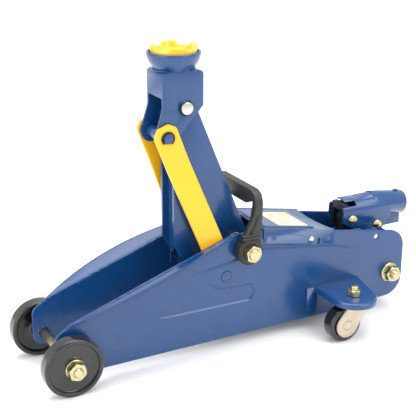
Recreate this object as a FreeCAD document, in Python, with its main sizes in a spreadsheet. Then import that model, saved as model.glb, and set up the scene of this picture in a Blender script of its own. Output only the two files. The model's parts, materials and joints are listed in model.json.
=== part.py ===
"""Trolley jack of the two-tonne class, drawn with its lift arm raised.

Row frame, millimetres: +Z up from the floor, +X to the rear (the handle-socket end), -Y the jack's left.
The origin is on the floor under the middle of the jack.
"""
import FreeCAD, Part
import math
import os
from types import SimpleNamespace

import Sketcher

# Driving dimensions, in millimetres and degrees.
DIMENSIONS = {
    # front axle and wheels
    "axle_x": -204.4, "wheel_radius": 31.0, "wheel_width": 15.5, "wheel_mid_y": 49.5,
    "wheel_bore": 5.07, "wheel_hub_radius": 11.0, "wheel_recess_radius": 26.0, "wheel_recess": 2.4,
    "axle_radius": 5.0, "axle_half": 67.8, "washer_radius": 10.0, "washer_thick": 2.0,
    "nut_flats": 17.0, "nut_thick": 8.0, "gap": 0.3, "hole_play": 0.1,
    # side plates
    "plate_outer_y": 36.5, "plate_thick": 3.0, "nose_x": -216.4, "nose_low_z": 19.5, "nose_high_z": 58.0,
    "slope_foot_x": -199.4, "slope_foot_z": 69.2, "slope_top_x": -18.4, "peak_z": 130.5,
    "peak_rear_x": 17.6, "plate_rear_x": 214.0, "rear_top_z": 94.3, "rear_low_z": 17.5,
    "sill_z": 12.4, "sill_rear_x": 135.6, "sill_front_x": -172.4, "corner_round": 22.0, "nose_round": 10.0,
    "flange_bulge": 18.0, "flange_rise": 15.0, "lip_width": 4.0, "lip_length": 285.0,
    # main pivot, lift arm, link bars
    "pivot_x": -1.2, "pivot_z": 112.6, "shaft_radius": 8.0, "journal_radius": 6.0, "shaft_half": 58.8,
    "pin_x": -61.7, "pin_z": 268.7, "pin_radius": 6.5, "pin_half": 22.6,
    "arm_outer_y": 15.2, "arm_thick": 3.5, "arm_hub_radius": 16.7, "arm_tip_radius": 12.0,
    "arm_front_x": -74.5, "arm_front_low_z": 125.0, "arm_front_high_z": 262.0, "bush_radius": 11.0,
    "ear_x": -34.7, "ear_z": 75.4, "ear_radius": 13.0, "ear_pin_radius": 5.0, "roller_radius": 8.0,
    "web_recess": 8.0, "web_low_z": 92.0, "web_high_z": 240.0, "arch_radius": 10.0, "arch_z": 102.0,
    "link_dx": -22.4, "link_dz": -27.9, "link_angle": 21.184, "link_length": 167.4, "link_half_width": 13.0,
    "link_thick": 4.0, "link_top_y": 18.8, "link_foot_y": 28.8, "link_pin_radius": 5.0, "link_play": 0.4,
    "link_pin_half": 25.6, "stud_radius": 6.0, "clip_radius": 7.9, "clip_thick": 1.2,
    # saddle bracket, cup and pad
    "cheek_inner_y": 15.5, "cheek_thick": 3.0, "bracket_front_x": -87.0, "bracket_rear_x": -42.0,
    "bracket_top_z": 305.4, "bracket_chamfer_z": 269.9, "bracket_foot_x": -54.3, "bracket_foot_z": 257.4,
    "front_sheet_low_z": 279.9, "lobe_radius": 12.0, "tube_radius": 6.6,
    "saddle_x": -65.8, "cup_base_radius": 21.0, "cup_base_z": 305.5, "cup_rim_z": 323.6,
    "cup_rim_radius": 27.4, "cup_wall": 3.0, "pad_radius": 23.6, "pad_base_z": 310.3, "pad_rim_z": 326.2,
    "pad_top_z": 330.0, "pad_rim_wide": 5.5, "pad_dish_z": 322.4, "pad_lug_gap": 6.5, "pad_turn": 31.0,
    # hydraulic unit
    "ram_z": 69.0, "ram_radius": 11.0, "shoe_front_x": -25.2, "shoe_thick": 6.0, "shoe_half_y": 10.8,
    "shoe_low_z": 52.0, "shoe_high_z": 85.0, "yoke_half_y": 32.0, "yoke_step": 6.3, "yoke_low_z": 54.0,
    "yoke_tall": 8.0, "ram_rear_x": 72.0, "piston_thick": 9.0, "cylinder_bore": 14.0,
    "cylinder_radius": 17.0, "gland_front_x": 55.6, "gland_thick": 7.0, "reservoir_radius": 26.0,
    "reservoir_wall": 2.0, "block_front_x": 141.0, "block_rear_x": 207.0, "block_half_y": 25.0,
    "block_low_z": 30.0, "block_top_z": 88.0, "spring_y": 29.0, "spring_radius": 3.4, "spring_wire": 1.1,
    "filler_x": 100.0, "filler_radius": 6.0, "valve_y": 13.0, "valve_z": 68.0, "valve_radius": 6.0,
    "valve_rear_x": 221.0, "block_ear": 16.0, "block_ear_thick": 5.0, "barrel_radius": 9.0,
    "barrel_low_z": 56.0, "barrel_high_z": 89.5,
    "plunger_radius": 6.0, "plunger_low_z": 60.0, "eye_radius": 9.0, "eye_half_y": 5.0, "eye_play": 2.3,
    # handle socket
    "hinge_x": 154.9, "hinge_z": 110.4, "hinge_pin_radius": 4.0, "drive_x": 190.8, "drive_z": 99.1,
    "drive_pin_radius": 4.5, "stand_half_x": 9.0, "stand_half_y": 6.0, "stand_round": 9.5,
    "socket_inner_y": 13.0, "socket_thick": 2.0, "socket_front_x": 141.5, "cheek_front_z": 107.8,
    "cheek_bend_x": 157.2, "cheek_bend_z": 99.3, "cheek_heel_x": 197.0, "cheek_low_z": 92.5,
    "cheek_waist_x": 202.7, "cheek_waist_z": 101.3, "cheek_rear_x": 209.5, "cheek_rear_z": 110.3,
    "arch_mid_z": 119.5, "roof_rear_x": 188.0, "socket_top_z": 135.0,
    "roof_dip_x": 169.0, "roof_dip_z": 131.6, "lip_front_x": 147.0, "lip_top_z": 134.8,
    "notch_high_z": 131.5, "notch_low_z": 126.3, "notch_end_x": 160.5,
    "gusset_low_z": 90.0, "gusset_top_z": 106.6,
    "tube_rear_x": 233.6, "tube_rear_z": 116.0, "tube_outer": 14.0, "tube_bore": 12.1, "tube_slope": 7.2,
    "tube_front_reach": 47.0, "tube_ring_reach": 32.0,
    "lever_front_x": 143.0, "lever_thick": 6.5, "lever_half_y": 10.4, "lever_low_z": 100.0,
    "lever_high_z": 129.3, "lever_bridge_z": 121.5, "lever_rear_x": 163.0,
    "screw_radius": 3.2, "screw_x": 226.5, "set_screw_low_z": 130.0, "set_screw_tall": 2.4,
    # cover plate
    "cover_front_x": 21.0, "cover_rear_x": 112.0, "cover_thick": 1.5, "cover_depth": 17.0,
    "cover_round": 9.0, "cover_notch_x": 90.2, "cover_notch_wide": 3.6, "cover_notch_tall": 8.0,
    "cover_bite": 6.0, "cover_screw_x": 82.2, "cover_screw_z": 109.0,
    "slot_x": 173.9, "slot_z": 93.9,
    # rear tie bolt
    "tie_x": 194.8, "tie_z": 46.4, "tie_radius": 5.0, "tie_half": 52.0, "tie_flange_radius": 11.2,
    "tie_flange_thick": 2.0, "tie_nut_flats": 17.0, "tie_nut_thick": 10.0,
    # casters
    "stud_x": 114.6, "stud_y": 77.5, "shelf_z": 50.0, "shelf_thick": 3.0, "shelf_front_x": 88.6,
    "shelf_rear_x": 150.6, "lobe_outer": 26.0, "skirt_low_z": 43.8, "tab_front_x": 78.6, "tab_low_z": 19.0,
    "caster_x": 100.8, "caster_radius": 20.25, "caster_width": 15.5, "caster_bore": 4.07,
    "caster_pin_radius": 4.0, "caster_stud_radius": 4.0, "stud_head_radius": 7.5, "stud_head_low_z": 41.3,
    "fork_top_low_z": 43.4, "fork_top_high_z": 45.9, "fork_top_radius": 15.0, "fork_inner_y": 8.3,
    "fork_thick": 2.3, "fork_foot_radius": 13.8, "fork_rear_x": 128.0, "fork_front_x": 103.5,
    "stud_top_z": 61.5, "caster_nut_thick": 7.0, "caster_nut_flats": 13.0,
    # carry handle
    "boss_radius": 14.5, "boss_inner_y": 37.0, "boss_outer_y": 48.0, "leg_inner_y": 39.2,
    "leg_outer_y": 46.0, "leg_front_x": 4.8, "leg_rear_x": 14.0, "grip_low_z": 160.0,
    "grip_end_z": 166.0, "grip_end_y": 26.0,
    "handle_top_z": 177.0, "handle_round": 11.0, "grip_shoulder": 6.0, "root_ahead": 2.0, "root_behind": 13.4,
}

doc = FreeCAD.newDocument("trolley_jack")
sheet = doc.addObject("Spreadsheet::Sheet", "dims")
for row, (alias, number) in enumerate(DIMENSIONS.items(), start=1):
    sheet.set(f"A{row}", alias)
    sheet.set(f"B{row}", str(number))
    sheet.setAlias(f"B{row}", alias)
doc.recompute()


class Size:
    """A length or an angle, held as a number and as the sheet expression that gives it."""

    def __init__(self, number, text=None):
        self.number = float(number)
        self.text = repr(self.number) if text is None else text

    def __add__(self, other):
        other = as_size(other)
        return Size(self.number + other.number, f"({self.text} + {other.text})")

    def __sub__(self, other):
        other = as_size(other)
        return Size(self.number - other.number, f"({self.text} - {other.text})")

    def __mul__(self, other):
        other = as_size(other)
        return Size(self.number * other.number, f"({self.text} * {other.text})")

    def __truediv__(self, other):
        other = as_size(other)
        return Size(self.number / other.number, f"({self.text} / {other.text})")

    def __neg__(self):
        return Size(-self.number, f"(-{self.text})")

    __radd__ = __add__

    def __rsub__(self, other):
        return as_size(other) - self

    __rmul__ = __mul__


def as_size(value):
    """Wraps a plain number, such as zero or a half, as a Size."""
    return value if isinstance(value, Size) else Size(value)


def root(value):
    return Size(math.sqrt(value.number), f"sqrt({value.text})")


def cosine(angle):
    return Size(math.cos(math.radians(angle.number)), f"cos({angle.text})")


def sine(angle):
    return Size(math.sin(math.radians(angle.number)), f"sin({angle.text})")


d = SimpleNamespace(**{alias: Size(number, "dims." + alias) for alias, number in DIMENSIONS.items()})
ZERO = Size(0)

# derived places
LINK_PIN = (d.pin_x + d.link_dx, d.pin_z + d.link_dz)
LINK_FOOT = (d.pivot_x + d.link_dx, d.pivot_z + d.link_dz)
PLATE_INNER_Y = d.plate_outer_y - d.plate_thick
CHEEK_OUTER_Y = d.cheek_inner_y + d.cheek_thick
SOCKET_OUTER_Y = d.socket_inner_y + d.socket_thick
REAR_SLOPE = (d.peak_z - d.rear_top_z) / (d.plate_rear_x - d.peak_rear_x)

TURNS = {
    "x": FreeCAD.Rotation(FreeCAD.Vector(0, 1, 0), 90),
    "y": FreeCAD.Rotation(FreeCAD.Vector(1, 0, 0), -90),
    "z": FreeCAD.Rotation(),
}


def bind(thing, **sizes):
    """Binds each named property of thing to its size's expression."""
    for path, size in sizes.items():
        thing.setExpression(path, as_size(size).text)
    return thing


def put(thing, x, y, z, turn=None):
    """Binds the place of thing to x, y and z, after an optional fixed turn."""
    if turn is not None:
        thing.Placement = FreeCAD.Placement(FreeCAD.Vector(), turn)
    for letter, size in zip("xyz", (x, y, z)):
        thing.setExpression("Placement.Base." + letter, as_size(size).text)
    return thing


# ---- Part primitives and booleans ----

def rod(axis, radius, length, x, y, z, label="rod"):
    """A round bar that starts at x, y, z and runs length along +axis."""
    bar = doc.addObject("Part::Cylinder", label)
    bar.Label = label
    bind(bar, Radius=radius, Height=length)
    return put(bar, x, y, z, TURNS[axis])


def hexagon(axis, flats, length, x, y, z, label="hexagon"):
    """A hexagonal bar, flats across, that starts at x, y, z and runs length along +axis."""
    bar = doc.addObject("Part::Prism", label)
    bar.Polygon = 6
    bind(bar, Circumradius=flats / root(Size(3)), Height=length)
    return put(bar, x, y, z, TURNS[axis])


def block(low, high, label="block"):
    """A box between two corners."""
    box = doc.addObject("Part::Box", label)
    box.Label = label
    sides = [as_size(top) - as_size(bottom) for bottom, top in zip(low, high)]
    bind(box, Length=sides[0], Width=sides[1], Height=sides[2])
    return put(box, *low)


def fuse(label, *solids):
    joined = doc.addObject("Part::MultiFuse", label)
    joined.Label = label
    joined.Shapes = list(solids)
    joined.Refine = True
    return joined


def cut(label, base, *tools):
    """Base less every tool."""
    remainder = doc.addObject("Part::Cut", label)
    remainder.Label = label
    remainder.Base = base
    remainder.Tool = tools[0] if len(tools) == 1 else fuse(label + "_tools", *tools)
    return remainder


def common(label, first, second):
    shared = doc.addObject("Part::Common", label)
    shared.Label = label
    shared.Base = first
    shared.Tool = second
    return shared


def ring(axis, outer, inner, length, x, y, z, label="ring"):
    """A washer, spacer or tube along +axis."""
    return cut(label, rod(axis, outer, length, x, y, z), rod(axis, inner, length, x, y, z))


def nut(axis, flats, bore, length, x, y, z, label="nut"):
    return cut(label, hexagon(axis, flats, length, x, y, z), rod(axis, bore, length, x, y, z))


def mirror(label, source):
    """The same piece on the other side of the jack's middle plane."""
    other = doc.addObject("Part::Mirroring", label)
    other.Label = label
    other.Source = source
    other.Normal = FreeCAD.Vector(0, 1, 0)
    return other


def both_sides(label, solid):
    """One node that holds a solid and its mirror image."""
    pair = doc.addObject("Part::Compound", label)
    pair.Label = label
    pair.Links = [solid, mirror(label + "_other", solid)]
    return pair


# ---- PartDesign bodies ----

def new_body(label):
    body = doc.addObject("PartDesign::Body", label)
    body.Label = label
    return body


def new_sketch(body, role, middle):
    """A sketch on one of the body's origin planes, moved to the coordinate middle along its normal."""
    plane = next(flat for flat in body.Origin.OriginFeatures if flat.Role == role)
    sketch = body.newObject("Sketcher::SketchObject", body.Label + "_sketch")
    sketch.AttachmentSupport = [(plane, "")]
    sketch.MapMode = "FlatFace"
    along = -as_size(middle) if role == "XZ_Plane" else as_size(middle)
    sketch.setExpression("AttachmentOffset.Base.z", along.text)
    return sketch


def pin_point(sketch, geometry, vertex, x, y):
    """Ties a vertex of the sketch to two sizes measured from its origin."""
    for kind, size in (("DistanceX", as_size(x)), ("DistanceY", as_size(y))):
        index = sketch.addConstraint(Sketcher.Constraint(kind, -1, 1, geometry, vertex, size.number))
        sketch.setExpression(f"Constraints[{index}]", size.text)


def draw_polygon(sketch, corners):
    spots = [FreeCAD.Vector(as_size(x).number, as_size(y).number, 0) for x, y in corners]
    count = len(spots)
    lines = [sketch.addGeometry(Part.LineSegment(spots[i], spots[(i + 1) % count])) for i in range(count)]
    for i, line in enumerate(lines):
        sketch.addConstraint(Sketcher.Constraint("Coincident", line, 2, lines[(i + 1) % count], 1))
        pin_point(sketch, line, 1, *corners[i])


def draw_circle(sketch, x, y, radius):
    x, y, radius = as_size(x), as_size(y), as_size(radius)
    centre = FreeCAD.Vector(x.number, y.number, 0)
    circle = sketch.addGeometry(Part.Circle(centre, FreeCAD.Vector(0, 0, 1), radius.number))
    pin_point(sketch, circle, 3, x, y)
    index = sketch.addConstraint(Sketcher.Constraint("Radius", circle, radius.number))
    sketch.setExpression(f"Constraints[{index}]", radius.text)


def extrude(body, kind, role, low, high, draw, *shape):
    """Adds (Pad) or takes away (Pocket) what draw puts in a sketch, between two coordinates."""
    low, high = as_size(low), as_size(high)
    sketch = new_sketch(body, role, (low + high) / 2)
    draw(sketch, *shape)
    feature = body.newObject("PartDesign::" + kind, body.Label + "_" + kind.lower())
    feature.Profile = sketch
    feature.Midplane = True
    bind(feature, Length=high - low)
    sketch.Visibility = False
    body.Tip = feature
    return feature


def pad_polygon(body, role, low, high, corners):
    return extrude(body, "Pad", role, low, high, draw_polygon, corners)


def pad_disc(body, role, low, high, x, y, radius):
    return extrude(body, "Pad", role, low, high, draw_circle, x, y, radius)


def pocket_polygon(body, role, low, high, corners):
    return extrude(body, "Pocket", role, low, high, draw_polygon, corners)


def drill(body, role, low, high, x, y, radius):
    return extrude(body, "Pocket", role, low, high, draw_circle, x, y, radius)


def strap(body, low, high, first, second):
    """A bar in the XZ plane with round ends: the outer tangents of two circles (x, z, radius)."""
    (x1, z1, r1), (x2, z2, r2) = first, second
    dx, dz = x2 - x1, z2 - z1
    reach = root(dx * dx + dz * dz)
    ux, uz = dx / reach, dz / reach
    lean = (r1 - r2) / reach
    side = root(1 - lean * lean)
    corners = []
    for (x, z, r), sign in ((first, 1), (second, 1), (second, -1), (first, -1)):
        nx = ux * lean - uz * side * sign
        nz = uz * lean + ux * side * sign
        corners.append((x + r * nx, z + r * nz))
    pad_polygon(body, "XZ_Plane", low, high, corners)
    pad_disc(body, "XZ_Plane", low, high, *first)
    pad_disc(body, "XZ_Plane", low, high, *second)


def round_corners(body, spots, radius, axes=(0, 2)):
    """Rounds the straight edges that cross the plane of two axes at the given spots."""
    doc.recompute()
    base = body.Tip
    along = ({0, 1, 2} - set(axes)).pop()
    names = []
    for number, edge in enumerate(base.Shape.Edges, start=1):
        ends = [vertex.Point for vertex in edge.Vertexes]
        if len(ends) != 2 or abs(ends[0][along] - ends[1][along]) < edge.Length - 1e-4:
            continue
        for x, y in spots:
            near = (ends[0][axes[0]] - as_size(x).number, ends[0][axes[1]] - as_size(y).number)
            if math.hypot(*near) < 0.05:
                names.append(f"Edge{number}")
    fillet = body.newObject("PartDesign::Fillet", body.Label + "_fillet")
    fillet.Base = (base, names)
    bind(fillet, Radius=radius)
    body.Tip = fillet
    return fillet


def revolve(body, role, profile, centre, axis):
    """Turns a closed profile about a line through centre, along the sketch's own H or V axis."""
    sketch = new_sketch(body, role, ZERO)
    draw_polygon(sketch, profile)
    feature = body.newObject("PartDesign::Revolution", body.Label + "_revolution")
    feature.Profile = sketch
    feature.ReferenceAxis = (sketch, [axis])
    feature.Angle = 360
    sketch.Visibility = False
    body.Tip = feature
    put(body, *centre)
    return feature


# ---- frame ----

def side_plate():
    """Left plate: a pressed web with a crescent flange on its front slope and a sill lip folded inward."""
    web = new_body("plate_web")
    outer, inner = -d.plate_outer_y, -PLATE_INNER_Y
    corners = {
        "nose_low": (d.nose_x, d.nose_low_z),
        "nose_high": (d.nose_x, d.nose_high_z),
        "slope_foot": (d.slope_foot_x, d.slope_foot_z),
        "slope_top": (d.slope_top_x, d.peak_z),
        "peak_rear": (d.peak_rear_x, d.peak_z),
        "rear_top": (d.plate_rear_x, d.rear_top_z),
        "rear_low": (d.plate_rear_x, d.rear_low_z),
        "sill_rear": (d.sill_rear_x, d.sill_z),
        "sill_front": (d.sill_front_x, d.sill_z),
    }
    pad_polygon(web, "XZ_Plane", outer, inner, list(corners.values()))
    for x, z, radius in ((d.axle_x, d.wheel_radius, d.axle_radius), (d.pivot_x, d.pivot_z, d.journal_radius),
                         (d.tie_x, d.tie_z, d.tie_radius), (*LINK_FOOT, d.stud_radius),
                         (d.slot_x, d.slot_z, d.screw_radius)):
        drill(web, "XZ_Plane", outer, inner, x, z, radius + d.hole_play)
    round_corners(web, [corners["rear_top"], corners["rear_low"]], d.corner_round)
    round_corners(web, [corners["nose_low"], corners["nose_high"], corners["slope_top"]], d.nose_round)

    run_x = d.slope_top_x - d.slope_foot_x
    run_z = d.peak_z - d.slope_foot_z
    chord = root(run_x * run_x + run_z * run_z)
    slope = math.degrees(math.atan2(run_z.number, run_x.number))
    turn = (FreeCAD.Rotation(FreeCAD.Vector(0, 1, 0), -slope)
            * FreeCAD.Rotation(FreeCAD.Vector(1, 0, 0), -d.flange_rise.number))
    down = turn.multVec(FreeCAD.Vector(0, 0, -1))
    out = turn.multVec(FreeCAD.Vector(0, -1, 0))
    along = turn.multVec(FreeCAD.Vector(1, 0, 0))
    strip = doc.addObject("Part::Box", "flange_strip")
    bind(strip, Length=chord, Width=d.flange_bulge + d.plate_thick, Height=d.plate_thick)
    corner = [d.slope_foot_x, -PLATE_INNER_Y, d.slope_foot_z]
    reach = d.flange_bulge + d.plate_thick
    put(strip, *[c + reach * o + d.plate_thick * n for c, o, n in zip(corner, out, down)], turn)
    disc_radius = (chord * chord / 4 + d.flange_bulge * d.flange_bulge) / (d.flange_bulge * 2)
    disc = doc.addObject("Part::Cylinder", "flange_disc")
    bind(disc, Radius=disc_radius, Height=d.plate_thick * 2)
    inset = reach - disc_radius
    put(disc, *[c + inset * o + chord / 2 * a + d.plate_thick * 2 * n
                for c, o, a, n in zip(corner, out, along, down)], turn)
    flange = common("crescent_flange", strip, disc)
    lip_front = d.sill_front_x + d.lip_width
    lip = block((lip_front, outer, d.sill_z),
                (lip_front + d.lip_length, inner + d.lip_width, d.sill_z + d.plate_thick))
    return fuse("left_side_plate", web, flange, lip)


def cover_line(x):
    """Height of the plates' rear top edge at x."""
    return d.peak_z - REAR_SLOPE * (x - d.peak_rear_x)


def cover_plate():
    """Folded lid over the hydraulic unit, screwed to the outside of both plates."""
    outer_y = d.plate_outer_y + d.gap / 2 + d.cover_thick
    top_front = cover_line(d.cover_front_x) + d.gap / 2
    top_rear = cover_line(d.cover_rear_x) + d.gap / 2
    lid = new_body("cover_blank")
    foot = (d.cover_front_x, top_front + d.cover_thick - d.cover_depth)
    heel = (d.cover_rear_x, top_rear + d.cover_thick - d.cover_depth)
    pad_polygon(lid, "XZ_Plane", -outer_y, outer_y, [
        foot, (d.cover_front_x, top_front + d.cover_thick), (d.cover_rear_x, top_rear + d.cover_thick), heel])
    round_corners(lid, [foot], d.cover_round)
    inner_y = outer_y - d.cover_thick
    front, rear = d.cover_front_x - d.cover_depth, d.cover_rear_x + d.cover_depth
    room = d.cover_depth * 2
    under = [(front, cover_line(front) + d.gap / 2), (rear, cover_line(rear) + d.gap / 2),
             (rear, cover_line(rear) - room), (front, cover_line(front) - room)]
    pocket_polygon(lid, "XZ_Plane", -inner_y, inner_y, under)
    drill(lid, "XZ_Plane", -outer_y * 2, outer_y * 2, d.cover_screw_x, d.cover_screw_z,
          d.screw_radius / 2 + d.hole_play)
    notch = block((d.cover_notch_x, -outer_y * 2, cover_line(d.cover_notch_x) - d.cover_depth * 2),
                  (d.cover_notch_x + d.cover_notch_wide, outer_y * 2,
                   cover_line(d.cover_notch_x) - d.cover_depth + d.cover_notch_tall))
    bite_radius = (inner_y * inner_y + d.cover_bite * d.cover_bite) / (d.cover_bite * 2)
    bite = common("cover_bite", rod("z", bite_radius, d.pivot_z, d.cover_rear_x - d.cover_bite + bite_radius,
                                    ZERO, d.pivot_z / 2),
                  block((d.cover_front_x, -inner_y, d.pivot_z / 2), (rear, inner_y, d.pivot_z * 2)))
    return cut("cover_plate", lid, notch, bite)


def front_axle():
    rod("y", d.axle_radius, d.axle_half * 2, d.axle_x, -d.axle_half, d.wheel_radius, "front_axle")
    wheel_in = d.wheel_mid_y - d.wheel_width / 2
    wheel_out = d.wheel_mid_y + d.wheel_width / 2
    spot = (d.axle_x, d.wheel_radius)
    bore = d.axle_radius + d.hole_play
    start = d.plate_outer_y + d.gap / 2
    both_sides("front_axle_spacers", ring("y", d.washer_radius, bore, wheel_in - d.gap * 1.5 - d.plate_outer_y,
                                          spot[0], start, spot[1]))
    face = wheel_out - d.wheel_recess + d.gap
    both_sides("front_axle_washers", ring("y", d.washer_radius, bore, d.washer_thick, spot[0], face, spot[1]))
    nut_y = face + d.washer_thick + d.gap / 2
    both_sides("front_axle_nuts", nut("y", d.nut_flats, bore, d.nut_thick, spot[0], nut_y, spot[1]))


def front_wheel(label, side):
    """Glossy roller with a raised rim, a dished face and a flat hub."""
    wheel = new_body(label)
    half, r = d.wheel_width / 2, d.wheel_radius
    dish = half - d.wheel_recess
    round_off = d.wheel_recess
    profile = [
        (d.wheel_bore, -dish), (d.wheel_hub_radius, -dish), (d.wheel_recess_radius, -dish),
        (d.wheel_recess_radius + 1, -half), (r - round_off, -half), (r, -half + round_off),
        (r, half - round_off), (r - round_off, half), (d.wheel_recess_radius + 1, half),
        (d.wheel_recess_radius, dish - 1), (d.wheel_hub_radius + 1, dish - 1),
        (d.wheel_hub_radius, dish), (d.wheel_bore, dish),
    ]
    if side < 0:
        profile = [(radius, -y) for radius, y in profile]
    revolve(wheel, "XY_Plane", profile, (d.axle_x, d.wheel_mid_y * side, d.wheel_radius), "V_Axis")


def main_pivot():
    centre = (d.pivot_x, d.pivot_z)
    reach = PLATE_INNER_Y - d.gap
    thick = rod("y", d.shaft_radius, reach * 2, centre[0], -reach, centre[1])
    ends = rod("y", d.journal_radius, d.shaft_half * 2, centre[0], -d.shaft_half, centre[1])
    fuse("main_pivot_shaft", thick, ends)
    both_sides("pivot_nuts", nut("y", d.nut_flats, d.journal_radius + d.hole_play, d.nut_thick,
                                 centre[0], d.boss_outer_y + d.gap * 2, centre[1]))


def link_studs():
    """Studs staked into the plates, flush outside, that carry the feet of the link bars."""
    inner_end = d.link_foot_y - d.clip_thick - d.gap * 2
    both_sides("link_pivot_studs", rod("y", d.stud_radius, d.plate_outer_y - inner_end,
                                       LINK_FOOT[0], inner_end, LINK_FOOT[1]))
    both_sides("link_stud_clips", ring("y", d.clip_radius, d.stud_radius + d.hole_play, d.clip_thick,
                                       LINK_FOOT[0], inner_end + d.gap, LINK_FOOT[1]))


def rear_tie():
    rod("y", d.tie_radius, d.tie_half * 2, d.tie_x, -d.tie_half, d.tie_z, "rear_tie_bolt")
    start = d.plate_outer_y + d.gap / 2
    flange = rod("y", d.tie_flange_radius, d.tie_flange_thick, d.tie_x, start, d.tie_z)
    body = hexagon("y", d.tie_nut_flats, d.tie_nut_thick, d.tie_x, start, d.tie_z)
    bore = rod("y", d.tie_radius + d.hole_play, d.tie_nut_thick, d.tie_x, start, d.tie_z)
    both_sides("rear_flange_nuts", cut("flange_nut", fuse("flange_nut_blank", flange, body), bore))


def small_screws():
    start = d.plate_outer_y + d.gap + d.cover_thick
    head = rod("y", d.screw_radius, d.cover_thick, d.cover_screw_x, start, d.cover_screw_z)
    shank = rod("y", d.screw_radius / 2, d.cover_thick + d.gap, d.cover_screw_x, start - d.cover_thick - d.gap / 2,
                d.cover_screw_z)
    both_sides("cover_screws", fuse("cover_screw", head, shank))
    depth = d.plate_outer_y - d.block_half_y
    both_sides("block_screws", rod("y", d.screw_radius, depth - d.cover_thick, d.slot_x,
                                   d.block_half_y + d.gap, d.slot_z))


# ---- hydraulic unit ----

def pump_block():
    """Cast block between the plates, with side lugs on the tie bolt and posts for the springs."""
    core = block((d.block_front_x, -d.block_half_y, d.block_low_z),
                 (d.block_rear_x, d.block_half_y, d.block_top_z))
    lug = block((d.tie_x - d.corner_round / 2, -(PLATE_INNER_Y - d.gap), d.block_low_z),
                (d.block_rear_x, PLATE_INNER_Y - d.gap, d.ram_z))
    post = block((d.block_front_x - d.shoe_thick, -d.yoke_half_y, d.yoke_low_z),
                 (d.block_front_x, d.yoke_half_y, d.yoke_low_z + d.yoke_tall))
    bolt_way = rod("y", d.tie_radius + d.hole_play, d.tie_half * 2, d.tie_x, -d.tie_half, d.tie_z)
    cylinder_way = rod("x", d.cylinder_radius + d.hole_play, d.shoe_thick,
                       d.block_front_x - d.shoe_thick, ZERO, d.ram_z)
    barrel_way = rod("z", d.barrel_radius + d.hole_play, d.block_top_z, d.drive_x, ZERO, d.barrel_low_z)
    valve_way = rod("x", d.valve_radius / 2 + d.hole_play, d.block_rear_x, d.block_rear_x - d.barrel_radius,
                    d.valve_y, d.valve_z)
    ear_front, ear_rear = d.slot_x - d.block_ear / 2, d.slot_x + d.block_ear / 2
    ear = block((ear_front, d.block_half_y - d.block_ear_thick, d.valve_z),
                (ear_rear, d.block_half_y, d.slot_z + d.tie_radius))
    blank = fuse("pump_block_blank", core, lug, post, ear, mirror("block_ear", ear))
    cut("pump_block", blank, bolt_way, barrel_way, valve_way, cylinder_way)


def cylinder_unit():
    start = d.gland_front_x + d.gland_thick
    axis_at = (ZERO, d.ram_z)
    ring("x", d.cylinder_radius, d.cylinder_bore, d.block_front_x - d.gap / 2 - start, start, *axis_at,
         "cylinder_tube")
    jacket_start = start + d.shoe_thick / 2
    length = d.block_front_x - d.shoe_thick - d.gap - jacket_start
    jacket = ring("x", d.reservoir_radius, d.reservoir_radius - d.reservoir_wall, length,
                  jacket_start, *axis_at)
    end = ring("x", d.reservoir_radius - d.reservoir_wall / 2, d.cylinder_radius + d.hole_play,
               d.reservoir_wall, jacket_start, *axis_at)
    filler_way = rod("z", d.filler_radius + d.hole_play, d.reservoir_radius * 2, d.filler_x, ZERO, d.ram_z)
    cut("reservoir_tube", fuse("reservoir_blank", jacket, end), filler_way)
    ring("x", d.cylinder_radius, d.ram_radius + d.gap / 5, d.gland_thick - d.gap / 2, d.gland_front_x,
         *axis_at, "ram_gland")
    top = d.ram_z + d.reservoir_radius
    neck = rod("z", d.filler_radius, d.reservoir_wall * 2, d.filler_x, ZERO, top - d.reservoir_wall * 2)
    cap = rod("z", d.filler_radius + 2, d.reservoir_wall, d.filler_x, ZERO, top + d.gap)
    bridge = rod("z", d.filler_radius, d.gap, d.filler_x, ZERO, top)
    fuse("filler_plug", neck, bridge, cap)


def ram():
    """Piston rod, and the cross-shaped shoe that pushes the arm's roller and carries the springs."""
    start = d.shoe_front_x + d.yoke_step + d.shoe_thick
    length = d.ram_rear_x - start
    shank = rod("x", d.ram_radius, length, start, ZERO, d.ram_z)
    piston = rod("x", d.cylinder_bore - d.gap / 6, d.piston_thick,
                 d.ram_rear_x - d.piston_thick, ZERO, d.ram_z)
    fuse("ram_rod", shank, piston)
    face = block((d.shoe_front_x, -d.shoe_half_y, d.shoe_low_z),
                 (d.shoe_front_x + d.yoke_step + d.shoe_thick, d.shoe_half_y, d.shoe_high_z))
    bar = block((d.shoe_front_x + d.yoke_step, -d.yoke_half_y, d.yoke_low_z),
                (d.shoe_front_x + d.yoke_step + d.shoe_thick, d.yoke_half_y, d.yoke_low_z + d.yoke_tall))
    fuse("ram_shoe", face, bar)


def return_springs():
    """The two draw-back springs, drawn at their shortest length between shoe and block."""
    start = d.gland_front_x
    length = d.block_front_x - d.shoe_thick - d.gap - start
    both_sides("return_springs", ring("x", d.spring_radius, d.spring_radius - d.spring_wire, length, start,
                                      d.spring_y, d.yoke_low_z + d.yoke_tall / 2))


def pump():
    height = d.barrel_high_z - d.barrel_low_z
    ring("z", d.barrel_radius, d.plunger_radius + d.gap / 6, height, d.drive_x, ZERO, d.barrel_low_z,
         "pump_barrel")
    shank = rod("z", d.plunger_radius, d.drive_z - d.plunger_low_z, d.drive_x, ZERO, d.plunger_low_z)
    eye = rod("y", d.eye_radius, d.eye_half_y * 2, d.drive_x, -d.eye_half_y, d.drive_z)
    hole = rod("y", d.drive_pin_radius + d.eye_play, d.eye_half_y * 4,
               d.drive_x, -d.eye_half_y * 2, d.drive_z)
    cut("pump_plunger", fuse("plunger_blank", shank, eye), hole)


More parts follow.
